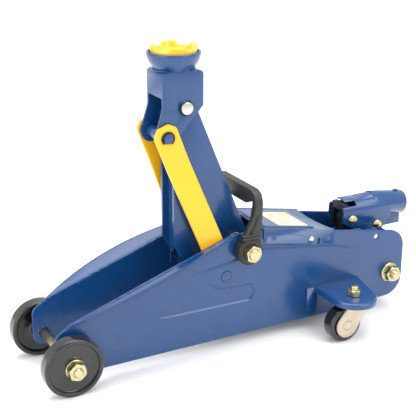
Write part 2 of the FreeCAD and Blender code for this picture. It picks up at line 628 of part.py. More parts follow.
def release_valve():
    start = d.block_rear_x - d.barrel_radius + d.gap
    stem = rod("x", d.valve_radius / 2, d.valve_rear_x - start, start, d.valve_y, d.valve_z)
    head = rod("x", d.valve_radius, d.valve_rear_x - d.block_rear_x - d.gap, d.block_rear_x + d.gap,
               d.valve_y, d.valve_z)
    slot_x = d.valve_rear_x - d.valve_radius
    slot = block((slot_x, d.valve_y - d.valve_radius * 2, d.valve_z - 1),
                 (slot_x + d.valve_radius * 2, d.valve_y + d.valve_radius * 2, d.valve_z + 1))
    cut("release_valve", fuse("valve_blank", stem, head), slot)


# ---- handle socket ----

def socket_stand():
    """Upright tongue on the pump block that the socket hinges on."""
    stand = new_body("socket_stand")
    foot = d.block_top_z + d.gap / 2
    pad_polygon(stand, "XZ_Plane", -d.stand_half_y, d.stand_half_y, [
        (d.hinge_x - d.stand_half_x, foot), (d.hinge_x + d.stand_half_x, foot),
        (d.hinge_x + d.stand_half_x, d.hinge_z), (d.hinge_x - d.stand_half_x, d.hinge_z)])
    pad_disc(stand, "XZ_Plane", -d.stand_half_y, d.stand_half_y, d.hinge_x, d.hinge_z, d.stand_round)
    drill(stand, "XZ_Plane", -d.stand_half_y, d.stand_half_y, d.hinge_x, d.hinge_z,
          d.hinge_pin_radius + d.gap / 5)


def handle_socket():
    """Pressed channel with a round roof that closes into a tube at the rear for the pump handle."""
    cheeks = new_body("socket_channel")
    pad_polygon(cheeks, "XZ_Plane", -SOCKET_OUTER_Y, SOCKET_OUTER_Y, [
        (d.socket_front_x, d.cheek_front_z), (d.cheek_bend_x, d.cheek_bend_z), (d.cheek_heel_x, d.cheek_low_z),
        (d.cheek_waist_x, d.cheek_waist_z), (d.cheek_rear_x, d.cheek_rear_z), (d.cheek_rear_x, d.arch_mid_z),
        (d.roof_rear_x, d.socket_top_z), (d.roof_dip_x, d.roof_dip_z), (d.lip_front_x, d.lip_top_z),
        (d.lip_front_x, d.notch_high_z),
        (d.notch_end_x, d.notch_high_z), (d.notch_end_x, d.notch_low_z), (d.socket_front_x, d.notch_low_z)])
    for x, z, radius in ((d.hinge_x, d.hinge_z, d.hinge_pin_radius),
                         (d.drive_x, d.drive_z, d.drive_pin_radius)):
        drill(cheeks, "XZ_Plane", -SOCKET_OUTER_Y, SOCKET_OUTER_Y, x, z, radius + d.hole_play)
    length = d.tube_rear_x - d.socket_front_x

    def arch(half_y, long):
        """A bar with a round roof, as wide as twice half_y, from the socket's front end."""
        start = d.socket_front_x - d.gap
        return fuse("arch", rod("x", half_y, long, start, ZERO, d.arch_mid_z),
                    block((start, -half_y, d.block_low_z), (start + long, half_y, d.arch_mid_z)))

    tilt = FreeCAD.Rotation(FreeCAD.Vector(0, 1, 0), 90 + d.tube_slope.number)
    tilt_cos, tilt_sin = cosine(d.tube_slope), sine(d.tube_slope)

    def tube_piece(radius, reach, beyond=ZERO):
        """A round bar on the tube's axis, from reach ahead of its rear end to beyond it."""
        piece = doc.addObject("Part::Cylinder", "tube_piece")
        bind(piece, Radius=radius, Height=reach + beyond)
        return put(piece, d.tube_rear_x - reach * tilt_cos, ZERO, d.tube_rear_z + reach * tilt_sin, tilt)

    gusset = new_body("socket_gusset")
    pad_polygon(gusset, "XZ_Plane", -d.socket_thick, d.socket_thick, [
        (d.cheek_waist_x, d.gusset_top_z), (d.cheek_waist_x, d.gusset_low_z), (d.tube_rear_x, d.gusset_low_z),
        (d.tube_rear_x, d.gusset_top_z - d.tube_outer / 4)])
    blank = fuse("socket_blank", common("socket_cheeks", cheeks, arch(SOCKET_OUTER_Y, length)),
                 tube_piece(d.tube_outer, d.tube_front_reach), gusset)
    ceiling = new_body("socket_ceiling")
    front, rear = d.socket_front_x - 1, d.tube_rear_x
    pad_polygon(ceiling, "XZ_Plane", -SOCKET_OUTER_Y, SOCKET_OUTER_Y, [
        (front, d.block_low_z), (rear, d.block_low_z), (rear, d.socket_top_z * 2),
        (d.roof_rear_x, d.socket_top_z * 2), (d.roof_rear_x, d.socket_top_z - d.socket_thick),
        (d.roof_dip_x, d.roof_dip_z - d.socket_thick), (d.lip_front_x, d.lip_top_z - d.socket_thick),
        (front, d.lip_top_z - d.socket_thick)])
    void = common("socket_void", arch(d.socket_inner_y, length - d.tube_ring_reach), ceiling)
    cut("handle_socket", blank, void, tube_piece(d.tube_bore, d.tube_ring_reach + 1, d.tube_outer),
        rod("z", d.screw_radius + d.hole_play, d.tube_outer * 2, d.screw_x, ZERO, d.tube_rear_z))


def socket_fittings():
    reach = SOCKET_OUTER_Y + d.cover_thick
    hinge = rod("y", d.hinge_pin_radius, reach * 2, d.hinge_x, -reach, d.hinge_z)
    drive = rod("y", d.drive_pin_radius, reach * 2, d.drive_x, -reach, d.drive_z)
    pins = doc.addObject("Part::Compound", "socket_pins")
    pins.Label = "socket_pins"
    pins.Links = [hinge, drive]
    lever = new_body("pump_lever")
    front, neck, rear = d.lever_front_x, d.lever_front_x + d.lever_thick, d.lever_rear_x
    half, throat = d.lever_half_y, d.stand_half_y + d.gap * 2
    pad_polygon(lever, "XZ_Plane", -half, half, [
        (front, d.lever_low_z), (rear, d.lever_low_z), (rear, d.lever_bridge_z - d.lever_thick),
        (neck, d.lever_high_z), (front, d.lever_high_z)])
    for near in (front - 1, neck):
        top = d.lever_bridge_z if near is not neck else d.lever_high_z + 1
        pocket_polygon(lever, "XZ_Plane", -throat, throat, [
            (near, d.lever_low_z - 1), (rear + 1, d.lever_low_z - 1), (rear + 1, top), (near, top)])
    drill(lever, "XZ_Plane", -half, half, d.hinge_x, d.hinge_z, d.hinge_pin_radius + d.hole_play)
    rod("z", d.screw_radius, d.set_screw_tall, d.screw_x, ZERO, d.set_screw_low_z, "socket_set_screw")


# ---- lift arm and linkage ----

def lift_arm():
    """Deep channel: two cheeks, a rear web and a recessed front web with an arched foot."""
    arm = new_body("arm_channel")
    outer, inner = d.arm_outer_y, d.arm_outer_y - d.arm_thick
    pivot = (d.pivot_x, d.pivot_z, d.arm_hub_radius)
    tip = (d.pin_x, d.pin_z, d.arm_tip_radius)
    ear = (d.ear_x, d.ear_z, d.ear_radius)
    strap(arm, -outer, outer, tip, pivot)
    strap(arm, -outer, outer, pivot, ear)
    pad_polygon(arm, "XZ_Plane", -outer, outer, [
        (d.arm_front_x, d.arm_front_high_z), (d.arm_front_x, d.arm_front_low_z),
        (d.ear_x - d.ear_radius * 0.8, d.ear_z - d.ear_radius * 0.6), (d.ear_x, d.ear_z),
        (d.pivot_x, d.pivot_z), (d.pin_x, d.pin_z)])
    lean = (d.pivot_x - d.pin_x) / (d.pin_z - d.pivot_z)
    shell = d.arm_hub_radius - d.arm_thick
    low, high = d.sill_z, d.bracket_top_z
    inner_low = d.pivot_x + shell + (d.pivot_z - low) * lean
    inner_high = d.pin_x + d.arm_tip_radius - d.arm_thick - (high - d.pin_z) * lean
    pocket_polygon(arm, "XZ_Plane", -inner, inner, [
        (d.bracket_front_x, low), (inner_low, low), (inner_high, high), (d.bracket_front_x, high)])
    below = d.pivot_z + d.arm_hub_radius + d.gap
    pocket_polygon(arm, "XZ_Plane", -inner, inner, [
        (d.bracket_front_x, d.sill_z), (d.cover_front_x * 3, d.sill_z), (d.cover_front_x * 3, below),
        (d.bracket_front_x, below)])
    over = d.pin_z - d.arm_tip_radius - d.arm_thick
    pocket_polygon(arm, "XZ_Plane", -inner, inner, [
        (d.bracket_front_x, over), (ZERO, over), (ZERO, d.bracket_top_z), (d.bracket_front_x, d.bracket_top_z)])
    web_x = d.arm_front_x + d.web_recess
    pad_polygon(arm, "XZ_Plane", -inner, inner, [
        (web_x, d.web_low_z), (web_x, d.web_high_z), (web_x + d.arm_thick, d.web_high_z),
        (web_x + d.arm_thick, d.web_low_z)])
    drill(arm, "XZ_Plane", -outer, outer, d.pivot_x, d.pivot_z, d.bush_radius + d.hole_play)
    drill(arm, "XZ_Plane", -outer, outer, d.pin_x, d.pin_z, d.pin_radius + d.gap / 5)
    drill(arm, "XZ_Plane", -outer, outer, d.ear_x, d.ear_z, d.ear_pin_radius + d.hole_play)
    arch = rod("x", d.arch_radius, d.web_recess * 2, d.arm_front_x, ZERO, d.arch_z)
    mouth = block((d.arm_front_x, -d.arch_radius, d.web_low_z - 1),
                  (d.arm_front_x + d.web_recess * 2, d.arch_radius, d.arch_z))
    cut("lift_arm", arm, fuse("arch_way", arch, mouth))
    ring("y", d.bush_radius, d.shaft_radius + d.gap / 5, outer * 2, d.pivot_x, -outer, d.pivot_z, "arm_bush")
    rod("y", d.ear_pin_radius, outer * 2, d.ear_x, -outer, d.ear_z, "ear_pin")
    roller_half = inner - d.gap
    ring("y", d.roller_radius, d.ear_pin_radius + d.hole_play, roller_half * 2, d.ear_x, -roller_half, d.ear_z,
         "ear_roller")


def saddle_bracket():
    """Folded bracket on the arm's tip: two cheeks, a top, a short front sheet and a lobe for the link pin."""
    bracket = new_body("saddle_bracket")
    outer = CHEEK_OUTER_Y
    link_x, link_z = LINK_PIN
    corner = (d.bracket_front_x, d.bracket_top_z)
    heel = (d.bracket_rear_x, d.bracket_top_z)
    pad_polygon(bracket, "XZ_Plane", -outer, outer, [
        corner, heel, (d.bracket_rear_x, d.bracket_chamfer_z), (d.bracket_foot_x + d.lobe_radius / 2, d.pin_z - 6),
        (d.bracket_foot_x, d.bracket_foot_z), (link_x + d.lobe_radius * 0.7, link_z - d.lobe_radius * 0.7),
        (link_x, link_z), (link_x - d.lobe_radius, link_z), (d.bracket_front_x, d.pin_z)])
    pad_disc(bracket, "XZ_Plane", -outer, outer, link_x, link_z, d.lobe_radius)
    round_corners(bracket, [corner, heel], d.cheek_thick * 1.5)
    inner_front = d.bracket_front_x + d.cheek_thick
    far = d.bracket_rear_x + d.lobe_radius
    low = link_z - d.lobe_radius * 2
    ahead = link_x - d.lobe_radius * 2
    pocket_polygon(bracket, "XZ_Plane", -d.cheek_inner_y, d.cheek_inner_y, [
        (inner_front, d.bracket_top_z - d.cheek_thick), (far, d.bracket_top_z - d.cheek_thick), (far, low),
        (ahead, low), (ahead, d.front_sheet_low_z), (inner_front, d.front_sheet_low_z)])
    drill(bracket, "XZ_Plane", -outer, outer, link_x, link_z, d.link_pin_radius + d.hole_play)
    drill(bracket, "XZ_Plane", -outer, outer, d.pin_x, d.pin_z, d.pin_radius + d.hole_play)


def bracket_pins():
    link_x, link_z = LINK_PIN
    half = d.cheek_inner_y - d.gap / 3
    ring("y", d.tube_radius, d.link_pin_radius + d.hole_play, half * 2, link_x, -half, link_z, "link_tube")
    rod("y", d.link_pin_radius, d.link_pin_half * 2, link_x, -d.link_pin_half, link_z, "link_pin")
    clip_y = d.link_top_y + d.link_thick + d.gap
    both_sides("link_clips", ring("y", d.clip_radius, d.link_pin_radius + d.hole_play, d.clip_thick,
                                  link_x, clip_y, link_z))
    rod("y", d.pin_radius, d.pin_half * 2, d.pin_x, -d.pin_half, d.pin_z, "saddle_pin")
    both_sides("saddle_pin_clips", ring("y", d.clip_radius, d.pin_radius + d.hole_play, d.clip_thick,
                                        d.pin_x, CHEEK_OUTER_Y + d.gap / 3, d.pin_z))


def pad_valley(angle):
    """The room of one pair of valleys between the pad's lugs, turned by angle about the saddle's axis."""
    turn = FreeCAD.Rotation(FreeCAD.Vector(0, 0, 1), angle.number)
    room = doc.addObject("Part::Box", "pad_valley")
    bind(room, Length=d.pad_radius * 4, Width=d.pad_lug_gap * 2, Height=d.pad_top_z + 1 - d.pad_rim_z)
    reach, half = d.pad_radius * 2, d.pad_lug_gap
    return put(room, d.saddle_x - reach * cosine(angle) + half * sine(angle),
               -reach * sine(angle) - half * cosine(angle), d.pad_rim_z, turn)


def saddle():
    """Round cup welded to the bracket, and the notched pad that sits in it."""
    cup = new_body("saddle_cup")
    base, rim, wall = ZERO, d.cup_rim_z - d.cup_base_z, d.cup_wall
    bulge = (d.cup_base_radius + d.cup_rim_radius) / 2
    revolve(cup, "XZ_Plane", [
        (ZERO, base), (d.cup_base_radius - wall, base), (d.cup_base_radius, base + wall / 2),
        (bulge, rim / 3), (d.cup_rim_radius, rim * 0.7), (d.cup_rim_radius, rim),
        (d.cup_rim_radius - wall, rim), (d.cup_rim_radius - wall, rim * 0.8), (bulge - wall, rim / 2),
        (d.cup_base_radius - wall, base + wall * 1.5), (ZERO, base + wall * 1.5)],
        (d.saddle_x, ZERO, d.cup_base_z), "V_Axis")
    pad = new_body("pad_blank")
    foot, dish, top = ZERO, d.pad_dish_z - d.pad_base_z, d.pad_top_z - d.pad_base_z
    shoulder = d.cup_rim_z - d.pad_base_z
    revolve(pad, "XZ_Plane", [
        (ZERO, foot), (d.cup_base_radius - wall * 1.5, foot), (bulge - wall * 2, shoulder * 0.4),
        (d.pad_radius, shoulder * 0.9), (d.pad_radius, top), (d.pad_radius - d.pad_rim_wide, top),
        (d.pad_radius - d.pad_rim_wide - 1, dish), (ZERO, dish)],
        (d.saddle_x, ZERO, d.pad_base_z), "V_Axis")
    cut("saddle_pad", pad, pad_valley(d.pad_turn), pad_valley(d.pad_turn + 90))


def link_bar():
    """Left link bar: flat at both ends, with a long joggle between, drawn upright and then leaned."""
    flat = new_body("link_outline")
    length, half = d.link_length, d.link_half_width
    inner, outer = -d.plate_outer_y, -d.arm_outer_y
    pad_polygon(flat, "XZ_Plane", inner, outer, [
        (-half, ZERO), (half, ZERO), (half, length + half / 2), (half / 2, length + half),
        (-half / 2, length + half), (-half, length + half / 2)])
    pad_disc(flat, "XZ_Plane", inner, outer, ZERO, ZERO, half)
    drill(flat, "XZ_Plane", inner, outer, ZERO, ZERO, d.stud_radius + d.gap / 5)
    drill(flat, "XZ_Plane", inner, outer, ZERO, length, d.link_pin_radius + d.link_play)
    strip = new_body("link_strip")
    foot, top, thick = -d.link_foot_y, -d.link_top_y, d.link_thick
    low, high = -half * 2, length + half * 2
    bend_low, bend_high = length / 4, length * 0.8
    pad_polygon(strip, "YZ_Plane", low, -low, [
        (foot, low), (foot, bend_low), (top, bend_high), (top, high),
        (top - thick, high), (top - thick, bend_high), (foot - thick, bend_low), (foot - thick, low)])
    bar = common("left_link_bar", flat, strip)
    lean = FreeCAD.Rotation(FreeCAD.Vector(0, 1, 0), -d.link_angle.number)
    return put(bar, LINK_FOOT[0], ZERO, LINK_FOOT[1], lean)


# ---- casters ----

def caster_bracket():
    """Left bracket: a pressed shelf with a rounded lobe, a skirt and a tab that lies on the plate."""
    shelf = new_body("caster_shelf")
    root_y = -(d.plate_outer_y + d.gap / 2)
    top, low = d.shelf_z, d.skirt_low_z
    right = d.stud_x + d.lobe_outer

    def outline(inset):
        near = root_y if inset is ZERO else root_y + d.shelf_thick
        return [(d.shelf_front_x + inset, near), (d.shelf_rear_x - inset, near), (right - inset, -d.stud_y),
                (d.shelf_front_x + inset, -d.stud_y)]

    pad_polygon(shelf, "XY_Plane", low, top, outline(ZERO))
    pad_disc(shelf, "XY_Plane", low, top, d.stud_x, -d.stud_y, d.lobe_outer)
    pocket_polygon(shelf, "XY_Plane", low - 1, top - d.shelf_thick, outline(d.shelf_thick))
    drill(shelf, "XY_Plane", low - 1, top - d.shelf_thick, d.stud_x, -d.stud_y, d.lobe_outer - d.shelf_thick)
    drill(shelf, "XY_Plane", low, top, d.stud_x, -d.stud_y, d.caster_stud_radius + d.hole_play)
    tab = block((d.tab_front_x, root_y - d.shelf_thick, d.tab_low_z),
                (d.shelf_front_x + d.shelf_thick, root_y, d.shelf_z))
    return fuse("left_caster_bracket", shelf, tab)


def caster_fasteners():
    y = d.stud_y
    underside = d.shelf_z - d.shelf_thick
    head = rod("z", d.stud_head_radius, d.fork_top_low_z - d.gap / 2 - d.stud_head_low_z,
               d.stud_x, y, d.stud_head_low_z)
    shank = rod("z", d.caster_stud_radius, d.stud_top_z - d.stud_head_low_z, d.stud_x, y, d.stud_head_low_z)
    both_sides("caster_studs", fuse("caster_stud", head, shank))
    both_sides("caster_nuts", nut("z", d.caster_nut_flats, d.caster_stud_radius + d.hole_play,
                                  d.caster_nut_thick, d.stud_x, y, d.shelf_z + d.gap / 2))
    both_sides("caster_washers", ring("z", d.washer_radius, d.caster_stud_radius + d.hole_play,
                                      underside - d.fork_top_high_z - d.gap, d.stud_x, y,
                                      d.fork_top_high_z + d.gap * 0.7))


def caster_fork():
    """Left fork: a round top plate on the stud and two legs that trail to the wheel pin."""
    fork = new_body("left_caster_fork")
    y = -d.stud_y
    inner, outer = d.fork_inner_y, d.fork_inner_y + d.fork_thick
    foot = (d.caster_x, d.caster_radius, d.fork_foot_radius)
    top, low = d.fork_top_high_z, d.fork_top_low_z
    pad_disc(fork, "XY_Plane", low, top, d.stud_x, y, d.fork_top_radius)
    for near, far in ((y - outer, y - inner), (y + inner, y + outer)):
        pad_polygon(fork, "XZ_Plane", near, far, [
            (d.fork_front_x, top), (d.fork_rear_x, top), (d.fork_rear_x, low - d.fork_thick),
            (foot[0] + foot[2] * 0.8, foot[1] - foot[2] * 0.6), (foot[0] - foot[2] * 0.8, foot[1] + foot[2] * 0.6)])
        pad_disc(fork, "XZ_Plane", near, far, *foot)
    for side in (y - outer, y + outer):
        pad_polygon(fork, "XY_Plane", low, top, [
            (d.fork_front_x, y), (d.fork_rear_x, y), (d.fork_rear_x, side), (d.fork_front_x, side)])
    drill(fork, "XY_Plane", low, top, d.stud_x, y, d.caster_stud_radius + d.gap / 5)
    drill(fork, "XZ_Plane", y - outer, y + outer, foot[0], foot[1], d.caster_pin_radius + d.hole_play)
    return fork


def caster_wheel():
    wheel = new_body("left_caster_wheel")
    half, r, bore = d.caster_width / 2, d.caster_radius, d.caster_bore
    ease, dish = Size(2), Size(1)
    revolve(wheel, "XY_Plane", [
        (bore, -half), (bore * 2, -half), (bore * 2 + dish, -half + dish), (r * 0.7, -half + dish),
        (r * 0.75, -half), (r - ease, -half), (r, -half + ease), (r, half - ease), (r - ease, half),
        (r * 0.75, half), (r * 0.7, half - dish), (bore * 2 + dish, half - dish), (bore * 2, half), (bore, half)],
        (d.caster_x, -d.stud_y, r), "V_Axis")
    return wheel


def casters():
    mirror("right_caster_bracket", caster_bracket())
    caster_fasteners()
    mirror("right_caster_fork", caster_fork())
    mirror("right_caster_wheel", caster_wheel())
    reach = d.fork_inner_y + d.fork_thick + d.cover_thick
    pin = rod("y", d.caster_pin_radius, reach * 2, d.caster_x, -d.stud_y - reach, d.caster_radius,
              "left_caster_axle")
    mirror("right_caster_axle", pin)


# ---- carry handle ----

def carry_handle():
    """Moulded bail on the ends of the main pivot: two bossed legs and a cross grip."""
    bail = new_body("carry_handle")
    top, end, foot = d.handle_top_z, d.grip_end_z, d.grip_low_z
    outer, step = d.leg_outer_y, d.grip_end_y
    shoulder, bend = d.grip_shoulder, d.handle_round
    near = bend * 0.3
    pad_polygon(bail, "YZ_Plane", d.leg_front_x, d.leg_rear_x, [
        (-outer, foot), (-d.leg_inner_y, foot), (-d.leg_inner_y, end), (-step - shoulder, end), (-step, foot),
        (step, foot), (step + shoulder, end), (d.leg_inner_y, end), (d.leg_inner_y, foot), (outer, foot),
        (outer, top - bend), (outer - near, top - near), (outer - bend, top),
        (bend - outer, top), (near - outer, top - near), (-outer, top - bend)])
    root_front, root_rear = d.pivot_x - d.root_ahead, d.pivot_x + d.root_behind
    for side in (-1, 1):
        low, high = sorted(((d.leg_inner_y * side), (outer * side)), key=lambda size: size.number)
        pad_polygon(bail, "XZ_Plane", low, high, [
            (root_front, d.pivot_z), (root_rear, d.pivot_z),
            (d.leg_rear_x, d.grip_low_z + 1), (d.leg_front_x, d.grip_low_z + 1)])
        low, high = sorted(((d.boss_inner_y * side), (d.boss_outer_y * side)), key=lambda size: size.number)
        pad_disc(bail, "XZ_Plane", low, high, d.pivot_x, d.pivot_z, d.boss_radius)
    drill(bail, "XZ_Plane", -d.boss_outer_y, d.boss_outer_y, d.pivot_x, d.pivot_z,
          d.journal_radius + d.gap / 5)


def build():
    mirror("right_side_plate", side_plate())
    cover_plate()
    front_axle()
    front_wheel("left_front_wheel", -1)
    front_wheel("right_front_wheel", 1)
    main_pivot()
    link_studs()
    rear_tie()
    small_screws()
    pump_block()
    cylinder_unit()
    ram()
    return_springs()
    pump()
    release_valve()
    socket_stand()
    handle_socket()
    socket_fittings()
    lift_arm()
    saddle_bracket()
    bracket_pins()
    saddle()
    mirror("right_link_bar", link_bar())
    casters()
    carry_handle()


NODES = [
    "left_side_plate", "right_side_plate", "cover_plate", "cover_screws", "block_screws",
    "front_axle", "front_axle_spacers", "front_axle_washers", "front_axle_nuts",
    "left_front_wheel", "right_front_wheel", "main_pivot_shaft", "pivot_nuts",
    "link_pivot_studs", "link_stud_clips", "rear_tie_bolt", "rear_flange_nuts",
    "pump_block", "cylinder_tube", "reservoir_tube", "ram_gland", "filler_plug", "ram_rod", "ram_shoe",
    "return_springs", "pump_barrel", "pump_plunger", "release_valve", "socket_stand", "handle_socket",
    "socket_pins", "pump_lever", "socket_set_screw", "lift_arm", "arm_bush", "ear_pin", "ear_roller",
    "saddle_bracket", "link_tube", "link_pin", "link_clips", "saddle_pin", "saddle_pin_clips",
    "saddle_cup", "saddle_pad", "left_link_bar", "right_link_bar",
    "left_caster_bracket", "right_caster_bracket", "caster_studs", "caster_nuts", "caster_washers",
    "left_caster_fork", "right_caster_fork", "left_caster_wheel", "right_caster_wheel",
    "left_caster_axle", "right_caster_axle", "carry_handle",
]


def write_parts():
    """Checks every object and writes each node's solids."""
    doc.recompute()
    for thing in doc.Objects:
        bad = {"Invalid", "Error"} & set(thing.State)
        if bad:
            raise RuntimeError(f"{thing.Label} is {sorted(bad)}")
    os.makedirs("parts", exist_ok=True)
    for label in NODES:
        node = doc.getObjectsByLabel(label)[0]
        if node.Shape.isNull() or not node.Shape.isValid():
            raise RuntimeError(f"{label} has no valid shape")
        node.Shape.exportStep(f"parts/{label}.step")


build()
write_parts()
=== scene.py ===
"""Looks of a trolley jack: pressed blue steel, yellow link bars, plated fasteners and black wheels.

Everything is drawn in millimetres in the row frame (+Z up, +X to the rear, -Y the jack's left) and scaled
to metres as each piece is made.
"""

import json
import logging
import math
from dataclasses import dataclass
from enum import Enum
from typing import Callable, Iterable, Sequence

import bmesh
import bpy
import numpy as np
from mathutils import Matrix, Vector
from mathutils.geometry import delaunay_2d_cdt

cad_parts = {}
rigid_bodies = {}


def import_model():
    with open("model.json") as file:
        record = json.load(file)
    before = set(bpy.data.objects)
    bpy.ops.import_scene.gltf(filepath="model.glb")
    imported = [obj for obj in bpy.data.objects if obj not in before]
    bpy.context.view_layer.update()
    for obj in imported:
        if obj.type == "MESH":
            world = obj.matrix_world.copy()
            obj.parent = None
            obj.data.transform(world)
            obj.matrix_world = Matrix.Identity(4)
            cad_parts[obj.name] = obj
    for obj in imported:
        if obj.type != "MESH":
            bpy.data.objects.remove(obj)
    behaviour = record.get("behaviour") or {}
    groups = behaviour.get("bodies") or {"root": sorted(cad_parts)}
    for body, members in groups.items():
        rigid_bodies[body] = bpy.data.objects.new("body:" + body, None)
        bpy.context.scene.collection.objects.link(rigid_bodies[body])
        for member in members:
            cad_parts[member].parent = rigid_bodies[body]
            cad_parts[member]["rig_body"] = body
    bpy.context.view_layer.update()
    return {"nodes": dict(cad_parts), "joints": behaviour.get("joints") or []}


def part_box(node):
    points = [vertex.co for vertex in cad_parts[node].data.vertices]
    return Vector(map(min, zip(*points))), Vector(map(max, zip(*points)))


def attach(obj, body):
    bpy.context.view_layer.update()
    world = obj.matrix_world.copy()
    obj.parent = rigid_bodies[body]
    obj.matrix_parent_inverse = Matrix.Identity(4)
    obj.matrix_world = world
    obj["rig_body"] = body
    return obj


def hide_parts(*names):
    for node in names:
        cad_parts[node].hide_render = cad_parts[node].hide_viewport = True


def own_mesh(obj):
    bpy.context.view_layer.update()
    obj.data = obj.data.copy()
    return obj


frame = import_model()

MM = 0.001
log = logging.getLogger("jack")
Point = tuple[float, float]
Relief = Callable[[np.ndarray, np.ndarray], np.ndarray]


class Axis(Enum):
    """The direction that a turned piece's own Z axis takes."""

    X = Matrix.Rotation(math.radians(90), 4, "Y")
    Y = Matrix.Rotation(math.radians(-90), 4, "X")
    Z = Matrix.Identity(4)


class Side(Enum):
    """The jack's two sides."""

    LEFT = -1
    RIGHT = 1

    @property
    def word(self) -> str:
        """The side's name as the CAD nodes spell it."""
        return self.name.lower()


# Euler turns that point a piece's own Z axis away from the middle plane
OUTWARD = {Side.LEFT: (math.radians(90), 0, 0), Side.RIGHT: (math.radians(-90), 0, 0)}
BOTH_OUTWARD = list(OUTWARD.values())
# distance across the flats of the axle, pivot and tie nuts
FLATS = 17.0
# pitch of their threads
PITCH = 1.5


# ---- finishes ----

def linear(text: str) -> tuple[float, float, float, float]:
    """Turns an sRGB hex colour into linear light."""
    channels = [int(text[i:i + 2], 16) / 255 for i in (1, 3, 5)]
    light = [c / 12.92 if c <= 0.04045 else ((c + 0.055) / 1.055) ** 2.4 for c in channels]
    return (*light, 1.0)


def add_node(tree: bpy.types.NodeTree, kind: str, links: dict | None = None, **values) -> bpy.types.Node:
    """Adds a node.

    Args:
        tree: the node tree that takes it.
        kind: the node's class name.
        links: input socket name or number to the output socket that feeds it.
        values: properties of the node, or, where it has none of that name, its input sockets.

    Returns:
        The new node.
    """
    fresh = tree.nodes.new(kind)
    for name, value in values.items():
        if hasattr(fresh, name):
            setattr(fresh, name, value)
        else:
            fresh.inputs[name.replace("_", " ")].default_value = value
    for name, source in (links or {}).items():
        tree.links.new(source, fresh.inputs[name])
    return fresh


# distance between the slow swells of pressed sheet, in millimetres
WAVE_LENGTH = 38.0


@dataclass(frozen=True)
class Finish:
    """One real surface finish.

    Attributes:
        name: the material's name.
        slot: the record's material slot; not used.
        colour: its usual colour, sRGB hex.
        shade: the colour that its patches drift towards.
        roughness: its middle roughness.
        metallic: 1 for bare or plated metal.
        coat: weight of a clear top layer.
        grain_mm: length of its finest texture.
        bump_mm: depth of that texture.
        drift_mm: length of its slow colour and gloss patches.
        uneven: how far gloss drifts either way.
        wear: colour that shows through in fine scuffs, or an empty string.
        wave_mm: depth of the slow waviness of pressed sheet.
    """

    name: str
    slot: str
    colour: str
    shade: str
    roughness: float
    metallic: float = 0.0
    coat: float = 0.0
    grain_mm: float = 1.2
    bump_mm: float = 0.02
    drift_mm: float = 40.0
    uneven: float = 0.06
    wear: str = ""
    wave_mm: float = 0.0

    def material(self) -> bpy.types.Material:
        """Returns the finish's material, built on first use."""
        found = bpy.data.materials.get(self.name)
        if found:
            return found
        made = bpy.data.materials.new(self.name)
        made.use_nodes = True
        made.diffuse_color = linear(self.colour)
        tree = made.node_tree
        shader = tree.nodes["Principled BSDF"]
        shader.inputs["Metallic"].default_value = self.metallic
        shader.inputs["Coat Weight"].default_value = self.coat
        shader.inputs["Coat Roughness"].default_value = 0.12
        place = add_node(tree, "ShaderNodeTexCoord").outputs["Object"]
        slow = add_node(tree, "ShaderNodeTexNoise", {"Vector": place}, Scale=1 / (self.drift_mm * MM),
                        Detail=4.0)
        fine = add_node(tree, "ShaderNodeTexNoise", {"Vector": place}, Scale=1 / (self.grain_mm * MM),
                        Detail=3.0)
        tint = add_node(tree, "ShaderNodeMix", {"Factor": slow.outputs["Fac"]}, data_type="RGBA")
        tint.inputs[6].default_value = linear(self.colour)
        tint.inputs[7].default_value = linear(self.shade)
        base = tint.outputs[2]
        if self.wear:
            scuff = add_node(tree, "ShaderNodeTexNoise", {"Vector": place},
                             Scale=1 / (self.grain_mm * 5 * MM),
                             Detail=8.0, Roughness=0.7)
            rare = add_node(tree, "ShaderNodeMapRange", {"Value": scuff.outputs["Fac"]}, From_Min=0.66,
                            From_Max=0.74, To_Min=0.0, To_Max=0.55)
            worn = add_node(tree, "ShaderNodeMix", {"Factor": rare.outputs["Result"]}, data_type="RGBA")
            tree.links.new(base, worn.inputs[6])
            worn.inputs[7].default_value = linear(self.wear)
            base = worn.outputs[2]
        tree.links.new(base, shader.inputs["Base Color"])
        gloss = add_node(tree, "ShaderNodeMapRange", {"Value": slow.outputs["Fac"]}, From_Min=0.3,
                         From_Max=0.7,
                         To_Min=self.roughness - self.uneven, To_Max=self.roughness + self.uneven)
        tree.links.new(gloss.outputs["Result"], shader.inputs["Roughness"])
        bump = add_node(tree, "ShaderNodeBump", {"Height": fine.outputs["Fac"]}, Distance=self.bump_mm * MM)
        bump.inputs["Strength"].default_value = 0.6
        if self.wave_mm:
            swell = add_node(tree, "ShaderNodeTexNoise", {"Vector": place}, Scale=1 / (WAVE_LENGTH * MM),
                             Detail=1.0)
            wave = add_node(tree, "ShaderNodeBump", {"Height": swell.outputs["Fac"]},
                            Distance=self.wave_mm * MM)
            tree.links.new(wave.outputs["Normal"], bump.inputs["Normal"])
        tree.links.new(bump.outputs["Normal"], shader.inputs["Normal"])
        return made


# gloss enamel sprayed over pressed steel, with a little orange peel
BLUE = Finish("blue_enamel", "blue_paint", "#0F437A", "#0C396C", 0.27, coat=0.4, grain_mm=1.6, bump_mm=0.025,
              wave_mm=0.25)
# brighter enamel on the flat link bars and the pad
YELLOW = Finish("yellow_enamel", "yellow_paint", "#F9BC0C", "#F2B006", 0.32, coat=0.3, grain_mm=1.4,
                bump_mm=0.025)
# yellow chromate over zinc plate
YELLOW_ZINC = Finish("yellow_zinc_plate", "yellow_zinc", "#CFC8A2", "#BDB083", 0.27, metallic=1.0,
                     grain_mm=0.8,
                     drift_mm=8.0, uneven=0.08, wear="#B98F58")
# bright zinc on the small pins and screws
WHITE_ZINC = Finish("bright_zinc_plate", "white_zinc", "#D6D2CA", "#BDBAB3", 0.28, metallic=1.0, grain_mm=0.8,
                    drift_mm=6.0, uneven=0.08, wear="#9A958A")
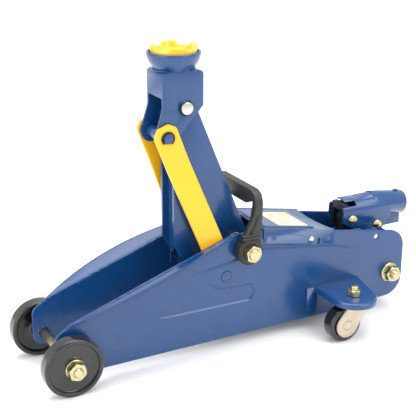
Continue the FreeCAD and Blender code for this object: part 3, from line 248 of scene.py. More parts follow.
# dull pale plate on the caster forks
CREAM_ZINC = Finish("pale_zinc_plate", "cream_zinc", "#CBBEAA", "#B8AA94", 0.40, metallic=0.55, grain_mm=1.0,
                    drift_mm=10.0, uneven=0.08)
# black oxide on springs, clips and the pump lever
BLACK_STEEL = Finish("black_oxide", "black_steel", "#26272A", "#1B1B1D", 0.45, metallic=0.4, grain_mm=0.9,
                     drift_mm=12.0, wear="#5A5652")
# turned and oiled steel of the hydraulic unit
BRIGHT_STEEL = Finish("machined_steel", "machined_steel", "#A9A9A8", "#90908F", 0.30, metallic=1.0,
                      grain_mm=0.7,
                      drift_mm=15.0, uneven=0.08)
# moulded gloss nylon of the wheels
BLACK_NYLON = Finish("black_gloss_nylon", "black_wheel", "#111112", "#19191A", 0.20, coat=0.4, grain_mm=2.0,
                     bump_mm=0.015,
                     drift_mm=20.0, uneven=0.08, wear="#3A3A3C")
# fine-grained polypropylene of the carrying bail
BLACK_PLASTIC = Finish("black_grained_plastic", "black_plastic", "#232322", "#2C2B2A", 0.44, grain_mm=0.9,
                       bump_mm=0.05, drift_mm=18.0)
# soft filler plug
BLACK_RUBBER = Finish("black_rubber_plug", "black_rubber", "#1C1C1C", "#252525", 0.7, grain_mm=1.0,
                      bump_mm=0.04)
# printed film of the plain two-colour label
LABEL_WHITE = Finish("label_white_film", "blue_paint", "#E9EAEC", "#DCDDE2", 0.35, grain_mm=3.0, bump_mm=0.01)
LABEL_YELLOW = Finish("label_yellow_film", "yellow_paint", "#F2D64A", "#E8CC3C", 0.35, grain_mm=3.0,
                      bump_mm=0.01)
# grey ink of the label's rules
LABEL_GREY = Finish("label_grey_print", "blue_paint", "#6F7686", "#7C8290", 0.4, grain_mm=3.0, bump_mm=0.01)


# ---- mesh tools ----

def put_piece(name: str, bm: bmesh.types.BMesh, finish: Finish, body: str, stands_for: Sequence[str] = (),
              sharp: float = 34.0, metres: bool = False) -> bpy.types.Object:
    """Makes a piece of a finished mesh and ties it to its CAD body.

    Args:
        name: the piece's name.
        bm: its mesh; it is used up.
        finish: its finish.
        body: the CAD body that it rides on.
        stands_for: CAD nodes that it takes the place of.
        sharp: angle in degrees past which an edge stays sharp.
        metres: true where the mesh is in metres already.

    Returns:
        The new object.
    """
    if not metres:
        bmesh.ops.transform(bm, matrix=Matrix.Scale(MM, 4), verts=bm.verts)
    bmesh.ops.recalc_face_normals(bm, faces=bm.faces)
    mesh = bpy.data.meshes.new(name)
    bm.to_mesh(mesh)
    bm.free()
    mesh.polygons.foreach_set("use_smooth", [True] * len(mesh.polygons))
    mesh.set_sharp_from_angle(angle=math.radians(sharp))
    mesh.materials.append(finish.material())
    piece = bpy.data.objects.new(name, mesh)
    bpy.context.scene.collection.objects.link(piece)
    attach(piece, body)
    if stands_for:
        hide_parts(*stands_for)
    log.info("%s: %d faces on %s", name, len(mesh.polygons), body)
    return piece


def body_of(node: str) -> str:
    """The CAD body that a node belongs to."""
    return frame["nodes"][node]["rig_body"]


# facets across a sheet's bend
BEND_STEPS = 5
# where rows of points follow a rim, as shares of its ease
RIM_SHARES = (0.12, 0.45, 1.0)
# where rows of points follow a pressed line, in millimetres to either side
LINE_ROWS = (-2.2, -1.5, -0.9, -0.4, 0.0, 0.4, 0.9, 1.5, 2.2)


def softened(node: str, width: float, angle: float = 30.0, segments: int = 2, wide: float = 0.0,
             broad: Callable[[Vector, Vector], bool] | None = None) -> bmesh.types.BMesh:
    """A CAD node's mesh with its hard edges eased.

    Args:
        node: the CAD node.
        width: width of the ease, in millimetres.
        angle: edges that turn by more than this many degrees are eased.
        segments: facets across the ease.
        wide: width of the ease on the bent edges, or 0.
        broad: picks the bent edges by their two ends.

    Returns:
        A mesh in millimetres.
    """
    bm = bmesh.new()
    bm.from_mesh(frame["nodes"][node].data)
    bmesh.ops.transform(bm, matrix=Matrix.Scale(1 / MM, 4), verts=bm.verts)
    bmesh.ops.remove_doubles(bm, verts=bm.verts, dist=0.002)
    bmesh.ops.dissolve_limit(bm, angle_limit=math.radians(0.5), verts=bm.verts, edges=bm.edges)
    if wide:
        bends = [e for e in bm.edges if e.is_manifold and e.calc_face_angle(0.0) > math.radians(angle)
                 and broad(e.verts[0].co, e.verts[1].co)]
        bmesh.ops.bevel(bm, geom=bends, offset=wide, offset_type="OFFSET", segments=BEND_STEPS, profile=0.5,
                        affect="EDGES", clamp_overlap=True)
    hard = [e for e in bm.edges if e.is_manifold and e.calc_face_angle(0.0) > math.radians(angle)]
    bmesh.ops.bevel(bm, geom=hard, offset=width, offset_type="OFFSET", segments=segments, profile=0.5,
                    affect="EDGES", clamp_overlap=True)
    bmesh.ops.triangulate(bm, faces=[f for f in bm.faces if len(f.verts) > 4])
    return bm


def lathe(profile: Sequence[Point], axis: Axis, centre: Sequence[float], steps: int = 96,
          bm: bmesh.types.BMesh | None = None) -> bmesh.types.BMesh:
    """Turns a profile about an axis.

    Args:
        profile: (radius, height) points, from one end of the axis side to the other.
        axis: the direction of height.
        centre: the point where height is zero.
        steps: facets round the piece.
        bm: a mesh to add to.

    Returns:
        The mesh, in millimetres.
    """
    bm = bm or bmesh.new()
    turn = Matrix.Translation(Vector(centre)) @ axis.value
    rows = []
    for radius, height in profile:
        if radius < 1e-6:
            rows.append([bm.verts.new(turn @ Vector((0, 0, height)))])
            continue
        rows.append([bm.verts.new(turn @ Vector((radius * math.cos(a), radius * math.sin(a), height)))
                     for a in (2 * math.pi * i / steps for i in range(steps))])
    for low, high in zip(rows, rows[1:]):
        for i in range(steps):
            corners = [low[i % len(low)], low[(i + 1) % len(low)], high[(i + 1) % len(high)],
                       high[i % len(high)]]
            distinct = list(dict.fromkeys(corners))
            if len(distinct) > 2:
                bm.faces.new(distinct)
    return bm


def arc(cx: float, cy: float, radius: float, start: float, stop: float, steps: int = 8) -> list[Point]:
    """Points along an arc, angles in degrees."""
    angles = (math.radians(start + (stop - start) * i / steps) for i in range(steps + 1))
    return [(cx + radius * math.cos(a), cy + radius * math.sin(a)) for a in angles]


def rounded(corners: Sequence[tuple[float, float, float]], steps: int = 6) -> list[Point]:
    """An outline whose corners (x, y, radius) are rounded."""
    outline = []
    count = len(corners)
    for i, (x, y, radius) in enumerate(corners):
        here = Vector((x, y))
        before = (Vector(corners[i - 1][:2]) - here).normalized()
        after = (Vector(corners[(i + 1) % count][:2]) - here).normalized()
        half = before.angle(after) / 2
        if radius <= 0 or half > math.radians(88):
            outline.append((x, y))
            continue
        reach = radius / math.tan(half)
        middle = here + (before + after).normalized() * (radius / math.sin(half))
        first, last = here + before * reach - middle, here + after * reach - middle
        for k in range(steps + 1):
            spot = middle + first.normalized().slerp(last.normalized(), k / steps) * radius
            outline.append((spot.x, spot.y))
    return outline


def dense(ring: Sequence[Point], spacing: float) -> np.ndarray:
    """A closed outline with extra points, so that none is further than spacing from the next."""
    points = []
    for (x1, y1), (x2, y2) in zip(ring, list(ring[1:]) + [ring[0]]):
        parts = max(1, math.ceil(math.hypot(x2 - x1, y2 - y1) / spacing))
        points += [(x1 + (x2 - x1) * k / parts, y1 + (y2 - y1) * k / parts) for k in range(parts)]
    return np.array(points)


def distance(spots: np.ndarray, line: np.ndarray, closed: bool = True) -> np.ndarray:
    """Distance from each spot to a line of straight stretches."""
    ends = np.roll(line, -1, axis=0) if closed else line[1:]
    starts = line if closed else line[:-1]
    best = np.full(len(spots), 1e9)
    for a, b in zip(starts, ends):
        along = b - a
        size = float(along @ along)
        if size < 1e-12:
            continue
        share = np.clip(((spots - a) @ along) / size, 0, 1)
        best = np.minimum(best, np.hypot(*(spots - a - share[:, None] * along).T))
    return best


def inside(spots: np.ndarray, ring: np.ndarray) -> np.ndarray:
    """True for each spot that lies within the ring."""
    hit = np.zeros(len(spots), bool)
    for (x1, y1), (x2, y2) in zip(ring, np.roll(ring, -1, axis=0)):
        if y1 == y2:
            continue
        crosses = (y1 > spots[:, 1]) != (y2 > spots[:, 1])
        hit ^= crosses & (spots[:, 0] < (x2 - x1) * (spots[:, 1] - y1) / (y2 - y1) + x1)
    return hit


def across(line: np.ndarray) -> np.ndarray:
    """The unit direction square to a line at each of its points."""
    along = np.roll(line, -1, axis=0) - np.roll(line, 1, axis=0)
    return np.stack([-along[:, 1], along[:, 0]], 1) / np.maximum(np.hypot(*along.T), 1e-9)[:, None]


def smooth(value: np.ndarray) -> np.ndarray:
    """Smooth step of a number that runs from 0 to 1."""
    value = np.clip(value, 0, 1)
    return value * value * (3 - 2 * value)


def pressed_sheet(outline: Sequence[Point], holes: Iterable[Sequence[Point]], thick: float,
                  relief: Relief | None,
                  place: Callable[[float, float, float], Sequence[float]], spacing: float = 4.0,
                  ease: float = 0.7, close_lines: Sequence[np.ndarray] = (),
                  back_relief: Relief | None = None) -> bmesh.types.BMesh:
    """A sheet with eased rims whose two faces follow a relief.

    Args:
        outline: its outer edge, in its own flat coordinates.
        holes: edges of its holes.
        thick: its thickness.
        relief: how far both faces are pushed along the sheet's depth at given coordinates.
        place: turns flat x, y and depth into row-frame coordinates.
        spacing: distance between the points inside it.
        ease: radius of its rims.
        close_lines: lines that take rows of points along both of their sides.
        back_relief: the back face's own relief, where it differs from the front's.

    Returns:
        The mesh, in millimetres.
    """
    bm = bmesh.new()
    rings = [dense(outline, spacing), *(dense(hole, spacing) for hole in holes)]
    points = [tuple(p) for ring in rings for p in ring]
    edges, first = [], 0
    for ring in rings:
        edges += [(first + i, first + (i + 1) % len(ring)) for i in range(len(ring))]
        first += len(ring)
    extra = []
    for number, ring in enumerate(rings):
        ahead, normal = np.roll(ring, -1, axis=0), across(ring)
        turning = np.sum(ring[:, 0] * ahead[:, 1] - ahead[:, 0] * ring[:, 1])
        inward = normal * (1 if (turning > 0) == (number == 0) else -1)
        extra += [ring + inward * ease * share for share in RIM_SHARES]
    low, high = rings[0].min(0), rings[0].max(0)
    grid = np.stack(np.meshgrid(np.arange(low[0], high[0], spacing), np.arange(low[1], high[1], spacing)), -1)
    extra.append(grid.reshape(-1, 2))
    for line in close_lines:
        extra += [line + across(line) * shift for shift in LINE_ROWS]
    inner = np.concatenate(extra)
    keep = inside(inner, rings[0])
    for ring in rings[1:]:
        keep &= ~inside(inner, ring)
    rim = np.min([distance(inner, ring) for ring in rings], axis=0)
    inner = inner[keep & (rim > ease * 0.08)]
    points += [tuple(p) for p in inner]
    verts, _, faces, *_ = delaunay_2d_cdt([Vector(p) for p in points], edges, [], 0, 1e-4)
    flat = np.array([tuple(v) for v in verts])
    middles = np.array([flat[list(f)].mean(0) for f in faces])
    wanted = inside(middles, rings[0])
    for ring in rings[1:]:
        wanted &= ~inside(middles, ring)
    rim = np.min([distance(flat, ring) for ring in rings], axis=0)
    missing = np.clip(1 - rim / max(ease, 1e-6), 0, 1)
    drop = ease * (1 - np.sqrt(np.clip(1 - missing ** 2, 0, 1)))
    push = relief(flat[:, 0], flat[:, 1]) if relief else np.zeros(len(flat))
    top = [bm.verts.new(place(x, y, p + d)) for (x, y), p, d in zip(flat, push, drop)]
    back = back_relief(flat[:, 0], flat[:, 1]) if back_relief else push
    bottom = [bm.verts.new(place(x, y, p + thick - d)) for (x, y), p, d in zip(flat, back, drop)]
    uses: dict[tuple[int, int], int] = {}
    for face, good in zip(faces, wanted):
        if not good:
            continue
        bm.faces.new([top[i] for i in face])
        bm.faces.new([bottom[i] for i in reversed(face)])
        for a, b in zip(face, list(face[1:]) + [face[0]]):
            uses[(a, b)] = 1
    for a, b in uses:
        if (b, a) not in uses:
            bm.faces.new([top[a], top[b], bottom[b], bottom[a]])
    loose = [v for v in bm.verts if not v.link_faces]
    bmesh.ops.delete(bm, geom=loose, context="VERTS")
    return bm


def mirrored(bm: bmesh.types.BMesh) -> bmesh.types.BMesh:
    """A copy of a mesh on the jack's other side."""
    other = bm.copy()
    bmesh.ops.transform(other, matrix=Matrix.Scale(-1, 4, (0, 1, 0)), verts=other.verts)
    bmesh.ops.reverse_faces(other, faces=other.faces)
    return other


def on_both_sides(make: Callable[[], bmesh.types.BMesh]) -> bmesh.types.BMesh:
    """A mesh made for the right side, with its mirror image on the left."""
    return joined([mirrored(make()), make()])


def joined(parts: Iterable[bmesh.types.BMesh]) -> bmesh.types.BMesh:
    """All of several meshes in one."""
    whole = bmesh.new()
    for part in parts:
        scratch = bpy.data.meshes.new("scratch")
        part.to_mesh(scratch)
        whole.from_mesh(scratch)
        bpy.data.meshes.remove(scratch)
        part.free()
    return whole


# ---- geometry node trees for what repeats ----

def new_tree(name: str, sockets: Sequence[tuple[str, str]]) -> tuple[bpy.types.NodeTree, bpy.types.Node,
                                                                     bpy.types.Node]:
    """A geometry node tree with named inputs and one geometry output.

    Args:
        name: the tree's name.
        sockets: (name, socket type) of each input.

    Returns:
        The tree and its input and output nodes.
    """
    tree = bpy.data.node_groups.new(name, "GeometryNodeTree")
    for label, kind in sockets:
        tree.interface.new_socket(label, in_out="INPUT", socket_type=kind)
    tree.interface.new_socket("Geometry", in_out="OUTPUT", socket_type="NodeSocketGeometry")
    return tree, tree.nodes.new("NodeGroupInput"), tree.nodes.new("NodeGroupOutput")


def end_tree(tree: bpy.types.NodeTree, inputs: bpy.types.Node, outputs: bpy.types.Node,
             result: bpy.types.NodeSocket) -> None:
    """Ends a tree in Realize Instances and Set Material."""
    real = add_node(tree, "GeometryNodeRealizeInstances", {"Geometry": result})
    dressed = add_node(tree, "GeometryNodeSetMaterial", {"Geometry": real.outputs[0],
                                                         "Material": inputs.outputs["Finish"]})
    tree.links.new(dressed.outputs[0], outputs.inputs[0])


def repeat_tree() -> bpy.types.NodeTree:
    """Puts one source piece on each point, turned by the point's own turn."""
    found = bpy.data.node_groups.get("repeat_on_points")
    if found:
        return found
    tree, inputs, outputs = new_tree("repeat_on_points", [
        ("Points", "NodeSocketGeometry"), ("Source", "NodeSocketObject"), ("Finish", "NodeSocketMaterial")])
    source = add_node(tree, "GeometryNodeObjectInfo", {"Object": inputs.outputs["Source"]})
    turn = add_node(tree, "GeometryNodeInputNamedAttribute", data_type="FLOAT_VECTOR")
    turn.inputs["Name"].default_value = "turn"
    spread = add_node(tree, "GeometryNodeInstanceOnPoints", {
        "Points": inputs.outputs["Points"], "Instance": source.outputs["Geometry"],
        "Rotation": turn.outputs["Attribute"]})
    end_tree(tree, inputs, outputs, spread.outputs[0])
    return tree


def coil_tree() -> bpy.types.NodeTree:
    """A round wire wound in a helix up the Z axis."""
    found = bpy.data.node_groups.get("coiled_wire")
    if found:
        return found
    tree, inputs, outputs = new_tree("coiled_wire", [
        ("Geometry", "NodeSocketGeometry"), ("Radius", "NodeSocketFloat"), ("Turns", "NodeSocketFloat"),
        ("Height", "NodeSocketFloat"), ("Wire", "NodeSocketFloat"), ("Finish", "NodeSocketMaterial")])
    spiral = add_node(tree, "GeometryNodeCurveSpiral", {
        "Rotations": inputs.outputs["Turns"], "Start Radius": inputs.outputs["Radius"],
        "End Radius": inputs.outputs["Radius"], "Height": inputs.outputs["Height"]})
    spiral.inputs["Resolution"].default_value = 28
    wire = add_node(tree, "GeometryNodeCurvePrimitiveCircle", {"Radius": inputs.outputs["Wire"]})
    wire.inputs["Resolution"].default_value = 10
    tube = add_node(tree, "GeometryNodeCurveToMesh",
                    {"Curve": spiral.outputs[0], "Profile Curve": wire.outputs[0]})
    tube.inputs["Fill Caps"].default_value = True
    end_tree(tree, inputs, outputs, tube.outputs[0])
    return tree


def run_tree(tree: bpy.types.NodeTree, start: bpy.types.Mesh, values: dict) -> bmesh.types.BMesh:
    """Runs a tree on a mesh and returns the plain mesh that it makes.

    Args:
        tree: the geometry node tree.
        start: the mesh that it starts from.
        values: input name to value.

    Returns:
        The result, in the tree's own units.
    """
    holder = bpy.data.objects.new("holder", start)
    bpy.context.scene.collection.objects.link(holder)
    modifier = holder.modifiers.new("tree", "NODES")
    modifier.node_group = tree
    for item in tree.interface.items_tree:
        if item.item_type == "SOCKET" and item.in_out == "INPUT" and item.name in values:
            modifier[item.identifier] = values[item.name]
    graph = bpy.context.evaluated_depsgraph_get()
    made = bpy.data.meshes.new_from_object(holder.evaluated_get(graph))
    bm = bmesh.new()
    bm.from_mesh(made)
    bpy.data.meshes.remove(made)
    bpy.data.objects.remove(holder)
    return bm


def repeated(source: bmesh.types.BMesh, spots: Sequence[Sequence[float]], turns: Sequence[Sequence[float]],
             finish: Finish) -> bmesh.types.BMesh:
    """Copies of a source mesh at every spot, made by geometry nodes.

    Args:
        source: the mesh to repeat, about its own origin; it is used up.
        spots: where each copy goes.
        turns: each copy's Euler turn, in radians.
        finish: the copies' finish.

    Returns:
        The mesh of all copies.
    """
    mesh = bpy.data.meshes.new("source")
    source.to_mesh(mesh)
    source.free()
    model = bpy.data.objects.new("source", mesh)
    bpy.context.scene.collection.objects.link(model)
    points = bpy.data.meshes.new("points")
    points.from_pydata([tuple(s) for s in spots], [], [])
    turn = points.attributes.new("turn", "FLOAT_VECTOR", "POINT")
    turn.data.foreach_set("vector", [c for t in turns for c in t])
    bpy.context.view_layer.update()
    bm = run_tree(repeat_tree(), points, {"Source": model, "Finish": finish.material()})
    bpy.data.objects.remove(model)
    return bm


def coil(radius: float, pitch: float, length: float, wire: float, axis: Axis, start: Sequence[float],
         finish: Finish) -> bmesh.types.BMesh:
    """A helix of round wire along an axis, made by geometry nodes.

    Args:
        radius: radius of the wire's middle line.
        pitch: advance per turn.
        length: length along the axis.
        wire: the wire's radius.
        axis: the helix's direction.
        start: where it starts.
        finish: its finish.

    Returns:
        The mesh, in millimetres.
    """
    bm = run_tree(coil_tree(), bpy.data.meshes.new("empty"), {
        "Radius": radius, "Turns": length / pitch, "Height": length, "Wire": wire,
        "Finish": finish.material()})
    bmesh.ops.transform(bm, matrix=Matrix.Translation(Vector(start)) @ axis.value, verts=bm.verts)
    return bm


# ---- fasteners ----

def hex_nut(flats: float, thick: float, bore: float, flange: float = 0.0) -> bmesh.types.BMesh:
    """A hexagon nut about its own Z axis with both corners of its flats chamfered.

    Args:
        flats: distance across flats.
        thick: height.
        bore: bore radius.
        flange: radius of a flange at its foot, or 0.

    Returns:
        The mesh, from height 0 upwards.
    """
    bm = bmesh.new()
    steps = 72
    corner = flats / math.sqrt(3)

    def radius_at(angle: float, height: float) -> float:
        """Distance from the axis to the nut's side."""
        turn = (angle + math.pi / 6) % (math.pi / 3) - math.pi / 6
        side = flats / 2 / math.cos(turn)
        end = min(height, thick - height)
        return min(side, flats / 2 * 0.985 + end * 1.9)

    heights = [0, thick * 0.03, thick * 0.07, thick * 0.12, thick * 0.2, thick * 0.5, thick * 0.8,
               thick * 0.88,
               thick * 0.93, thick * 0.97, thick]
    rows = []
    for height in heights:
        rows.append([bm.verts.new((radius_at(2 * math.pi * i / steps,
                                             height) * math.cos(2 * math.pi * i / steps),
                                   radius_at(2 * math.pi * i / steps,
                                             height) * math.sin(2 * math.pi * i / steps),
                                   height)) for i in range(steps)])
    for radius, height in ((bore + 0.9, thick), (bore, thick - 0.7), (bore, 0.7), (bore + 0.9, 0)):
        rows.append([bm.verts.new((radius * math.cos(2 * math.pi * i / steps),
                                   radius * math.sin(2 * math.pi * i / steps),
                                   height)) for i in range(steps)])
    for low, high in zip(rows, rows[1:] + rows[:1]):
        for i in range(steps):
            bm.faces.new([low[i], low[(i + 1) % steps], high[(i + 1) % steps], high[i]])
    if flange > corner * 0.9:
        lathe([(corner * 0.8, 0.1), (flange - 0.4, 0), (flange, 0.5), (flange, 1.5), (flange - 0.5, 2.0),
               (corner * 0.93, 2.6), (corner * 0.8, 2.6)], Axis.Z, (0, 0, 0), steps, bm)
    return bm


def bolt_end(radius: float, length: float, pitch: float, axis: Axis, start: Sequence[float],
             finish: Finish) -> bmesh.types.BMesh:
    """A threaded bolt end with a chamfered tip, from start along +axis.

    Args:
        radius: the thread's outer radius.
        length: length that shows.
        pitch: thread pitch.
        axis: its direction.
        start: where it starts.
        finish: its finish.

    Returns:
        The mesh, in millimetres.
    """
    core = radius - pitch * 0.42
    body = lathe([(0, 0), (core, 0), (core, length - pitch * 0.7), (core - 0.7, length - 0.1),
                  (core - 1.4, length), (0, length - 0.25)], axis, start, 48)
    thread = coil(core, pitch, length - pitch * 1.3, pitch * 0.42, axis, start, finish)
    return joined([body, thread])


def clip_ring(pin: float, outer: float, thick: float, place: Callable[[float, float, float], Sequence[float]],
              opening: float) -> bmesh.types.BMesh:
    """An E-shaped retaining clip: a horseshoe with three lugs that bear on the pin.

    Args:
        pin: the pin's radius.
        outer: the clip's outer radius.
        thick: its thickness.
        place: turns flat x, y and depth into row-frame coordinates.
        opening: the direction of its mouth, in degrees.

    Returns:
        The mesh, in millimetres.
    """
    slack = pin + (outer - pin) * 0.42
    outline = arc(0, 0, outer, opening + 38, opening + 322, 40)
    outline += arc(0, 0, pin + 0.15, opening + 318, opening + 296, 4)
    outline += arc(0, 0, slack, opening + 286, opening + 202, 12)
    outline += arc(0, 0, pin + 0.15, opening + 194, opening + 166, 5)
    outline += arc(0, 0, slack, opening + 158, opening + 74, 12)
    outline += arc(0, 0, pin + 0.15, opening + 64, opening + 42, 4)
    return pressed_sheet(outline, [], thick, None, place, spacing=1.6, ease=0.22)


def joint_place(name: str) -> Vector:
    """A joint's place in millimetres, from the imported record."""
    for joint in frame["joints"]:
        if joint["name"] == name:
            return Vector(joint["pos_m"]) / MM
    raise KeyError(name)


def box_mm(node: str) -> tuple[Vector, Vector]:
    """A CAD node's lowest and highest corners, in millimetres."""
    low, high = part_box(node)
    return low / MM, high / MM


# ---- the jack's sub-assemblies ----

PIVOT = joint_place("arm_lift")
SADDLE_PIN = joint_place("saddle_level")
LINK_FOOT = joint_place("left_link_swing")
LINK_PIN = SADDLE_PIN + (LINK_FOOT - PIVOT)
FRONT_AXLE = joint_place("left_front_roll")
HINGE = joint_place("socket_pump")


@dataclass
class SidePlates:
    """The two pressed side plates with their embossed panel, crease, crescent flange and sill lip.

    Attributes:
        thick: sheet thickness.
        outer_y: distance from the middle plane to the outer face.
        press: depth of the embossed panel.
        hollow: depth of the shallow dish round the panel's front.
        groove: depth of the upper crease.
        bar_room: greatest push of the inner face beside the link bars.
        bulge: width of the crescent flange at its middle.
        rise: how steeply the flange rises outwards, in degrees.
        panel: corners (x, z, radius) of the long embossed panel.
        dish: corners of the shallow dish in front of it.
        crease: points of the upper crease.
        slope_foot: lower end of the front slope.
        slope_top: its upper end.
        screw_hole: centre of the slotted screw's hole.
        tie_hole: centre of the rear tie bolt's hole.
    """

    thick: float = 3.0
    outer_y: float = 36.5
    press: float = 1.7
    hollow: float = 1.1
    groove: float = 1.1
    bar_room: float = 0.45
    bulge: float = 18.0
    rise: float = 15.0
    panel: tuple = ((-108, 52.8, 3), (-104, 58.0, 4), (-67.6, 76.0, 14), (-46.3, 81.5, 8), (-32, 72.2, 8),
                    (-17, 70.4, 6), (7.7, 70, 4), (12, 60, 4), (5.9, 51.2, 4))
    dish: tuple = ((-166, 36, 12), (-163, 60, 14), (-120, 76, 20), (-58, 98, 14), (-40, 88, 10),
                   (-50, 62, 12),
                   (-108, 50, 14), (-136, 34, 14))
    crease: tuple = ((-67, 95.5), (-19.3, 101.9), (23.8, 109.6), (80, 101.5), (115.2, 96.2), (141, 88))
    slope_foot: tuple = (-199.4, 69.2)
    slope_top: tuple = (-18.4, 130.5)
    screw_hole: Point = (173.9, 93.9)
    tie_hole: Point = (194.8, 46.4)

    def outline(self) -> list[Point]:
        """The web's outer edge in X and Z."""
        low, high = box_mm("left_side_plate")
        return rounded([(low.x, 19.5, 10), (low.x, 58, 10), (*self.slope_foot, 3), (*self.slope_top, 10),
                        (17.6, 130.5, 3), (high.x, 94.3, 22),
                        (high.x, 17.5, 22), (135.6, low.z, 30), (-172.4, low.z, 20)])

    def relief(self, x: np.ndarray, z: np.ndarray) -> np.ndarray:
        """How far the sheet is pressed inward at a spot."""
        spots = np.stack([x, z], 1)
        ring = dense(rounded(self.panel), 6.0)
        depth = distance(spots, ring) * np.where(inside(spots, ring), 1, -1)
        fading = smooth((-48 - x) / 30) * smooth((z - 55) / 8)
        panel = smooth(depth / (3.2 + 9.0 * fading) + 0.5) * self.press
        ring = dense(rounded(self.dish), 6.0)
        depth = distance(spots, ring) * np.where(inside(spots, ring), 1, -1)
        panel = np.maximum(panel, smooth(depth / 9.0 + 0.5) * self.hollow)
        line = np.array(self.crease, float)
        crease = smooth(1 - distance(spots, line, closed=False) / 4.2) * self.groove
        return panel + crease

    def back_relief(self, x: np.ndarray, z: np.ndarray) -> np.ndarray:
        """The inner face's relief, held back where the link bars sweep past it."""
        return np.minimum(self.relief(x, z), self.bar_room)

    def web(self, side: Side) -> bmesh.types.BMesh:
        """One plate's web."""
        holes = []
        for spot, radius in ((FRONT_AXLE, 5.1), (PIVOT, 6.1), (LINK_FOOT, 6.1)):
            holes.append(arc(spot.x, spot.z, radius, 0, 345, 23))
        holes.append(arc(*self.screw_hole, 3.3, 0, 330, 11))
        holes.append(arc(*self.tie_hole, 5.1, 0, 345, 23))
        near = [dense(rounded(self.panel), 1.6), dense([*self.crease, *self.crease[-2:0:-1]], 3.0)]
        sign = side.value

        def place(x: float, z: float, depth: float) -> tuple[float, float, float]:
            """Turns the web's flat coordinates into the row frame."""
            return (x, sign * (self.outer_y - depth), z)

        return pressed_sheet(self.outline(), holes, self.thick, self.relief, place, spacing=4.0, ease=0.8,
                             close_lines=near, back_relief=self.back_relief)

    def flange(self, side: Side) -> bmesh.types.BMesh:
        """The crescent that curls outward along the front slope."""
        bm = bmesh.new()
        start, stop = Vector(self.slope_foot), Vector(self.slope_top)
        along = (stop - start).normalized()
        up = Vector((-along.y, along.x))
        chord = (stop - start).length
        radius = (chord ** 2 / 4 + self.bulge ** 2) / (2 * self.bulge)
        lift = math.tan(math.radians(self.rise))
        columns, rows = 72, 18
        inner_y = self.outer_y - self.thick
        grid = []
        for i in range(columns + 1):
            share = i / columns
            run = chord * share
            width = math.sqrt(max(radius ** 2 - (run - chord / 2) ** 2, 0)) - (radius - self.bulge)
            width = max(width, 0.02) + self.thick
            fold = 4.0 * min(1.0, (width - self.thick) / 5.0)
            row = []
            for j in range(rows + 1):
                out = width * (j / rows) ** 1.35
                height = lift * max(out - 1.0, 0) - fold * math.exp(-out / 1.8) * 1.15
                base = start + along * run
                row.append((base, out, height))
            grid.append(row)
        layers = []
        for offset in (0.0, -self.thick):
            layer = []
            for row in grid:
                line = []
                for j, (base, out, height) in enumerate(row):
                    ahead = row[min(j + 1, rows)]
                    back = row[max(j - 1, 0)]
                    slope = Vector((ahead[1] - back[1], ahead[2] - back[2])).normalized()
                    ease = 0.7 * (1 - math.sqrt(max(0.0, 1 - max(0.0, 1 - (row[-1][1] - out) / 0.8) ** 2)))
                    shift = offset + (ease if offset else -ease)
                    spot_out = out - slope.y * shift
                    spot_up = height + slope.x * shift
                    flat = base + up * spot_up
                    line.append(bm.verts.new((flat.x, side.value * (inner_y + spot_out), flat.y)))
                layer.append(line)
            layers.append(layer)
        top, bottom = layers
        for i in range(columns):
            for j in range(rows):
                bm.faces.new([top[i][j], top[i + 1][j], top[i + 1][j + 1], top[i][j + 1]])
                bm.faces.new([bottom[i][j], bottom[i][j + 1], bottom[i + 1][j + 1], bottom[i + 1][j]])
            for j in (0, rows):
                bm.faces.new([top[i][j], bottom[i][j], bottom[i + 1][j], top[i + 1][j]])
        for i in (0, columns):
            for j in range(rows):
                bm.faces.new([top[i][j], top[i][j + 1], bottom[i][j + 1], bottom[i][j]])
        return bm

    def lip(self, side: Side) -> bmesh.types.BMesh:
        """The stiffening lip that folds inward under the sill."""
        low, _ = box_mm("left_side_plate")
        outline = rounded([(-166, 0.8, 1), (110, 0.8, 1), (106, 7, 5), (-160, 7, 5)])
        sign = side.value

        def place(x: float, inward: float, depth: float) -> tuple[float, float, float]:
            """Turns the lip's flat coordinates into the row frame."""
            return (x, sign * (self.outer_y - inward), low.z + depth)

        return pressed_sheet(outline, [], self.thick, None, place, spacing=6.0, ease=0.8)

    def build(self) -> None:
        """Makes both plates."""
        for side in Side:
            bm = joined([self.web(side), self.flange(side), self.lip(side)])
            put_piece(f"{side.word}_plate_pressing", bm, BLUE, "frame", [f"{side.word}_side_plate"], sharp=40)


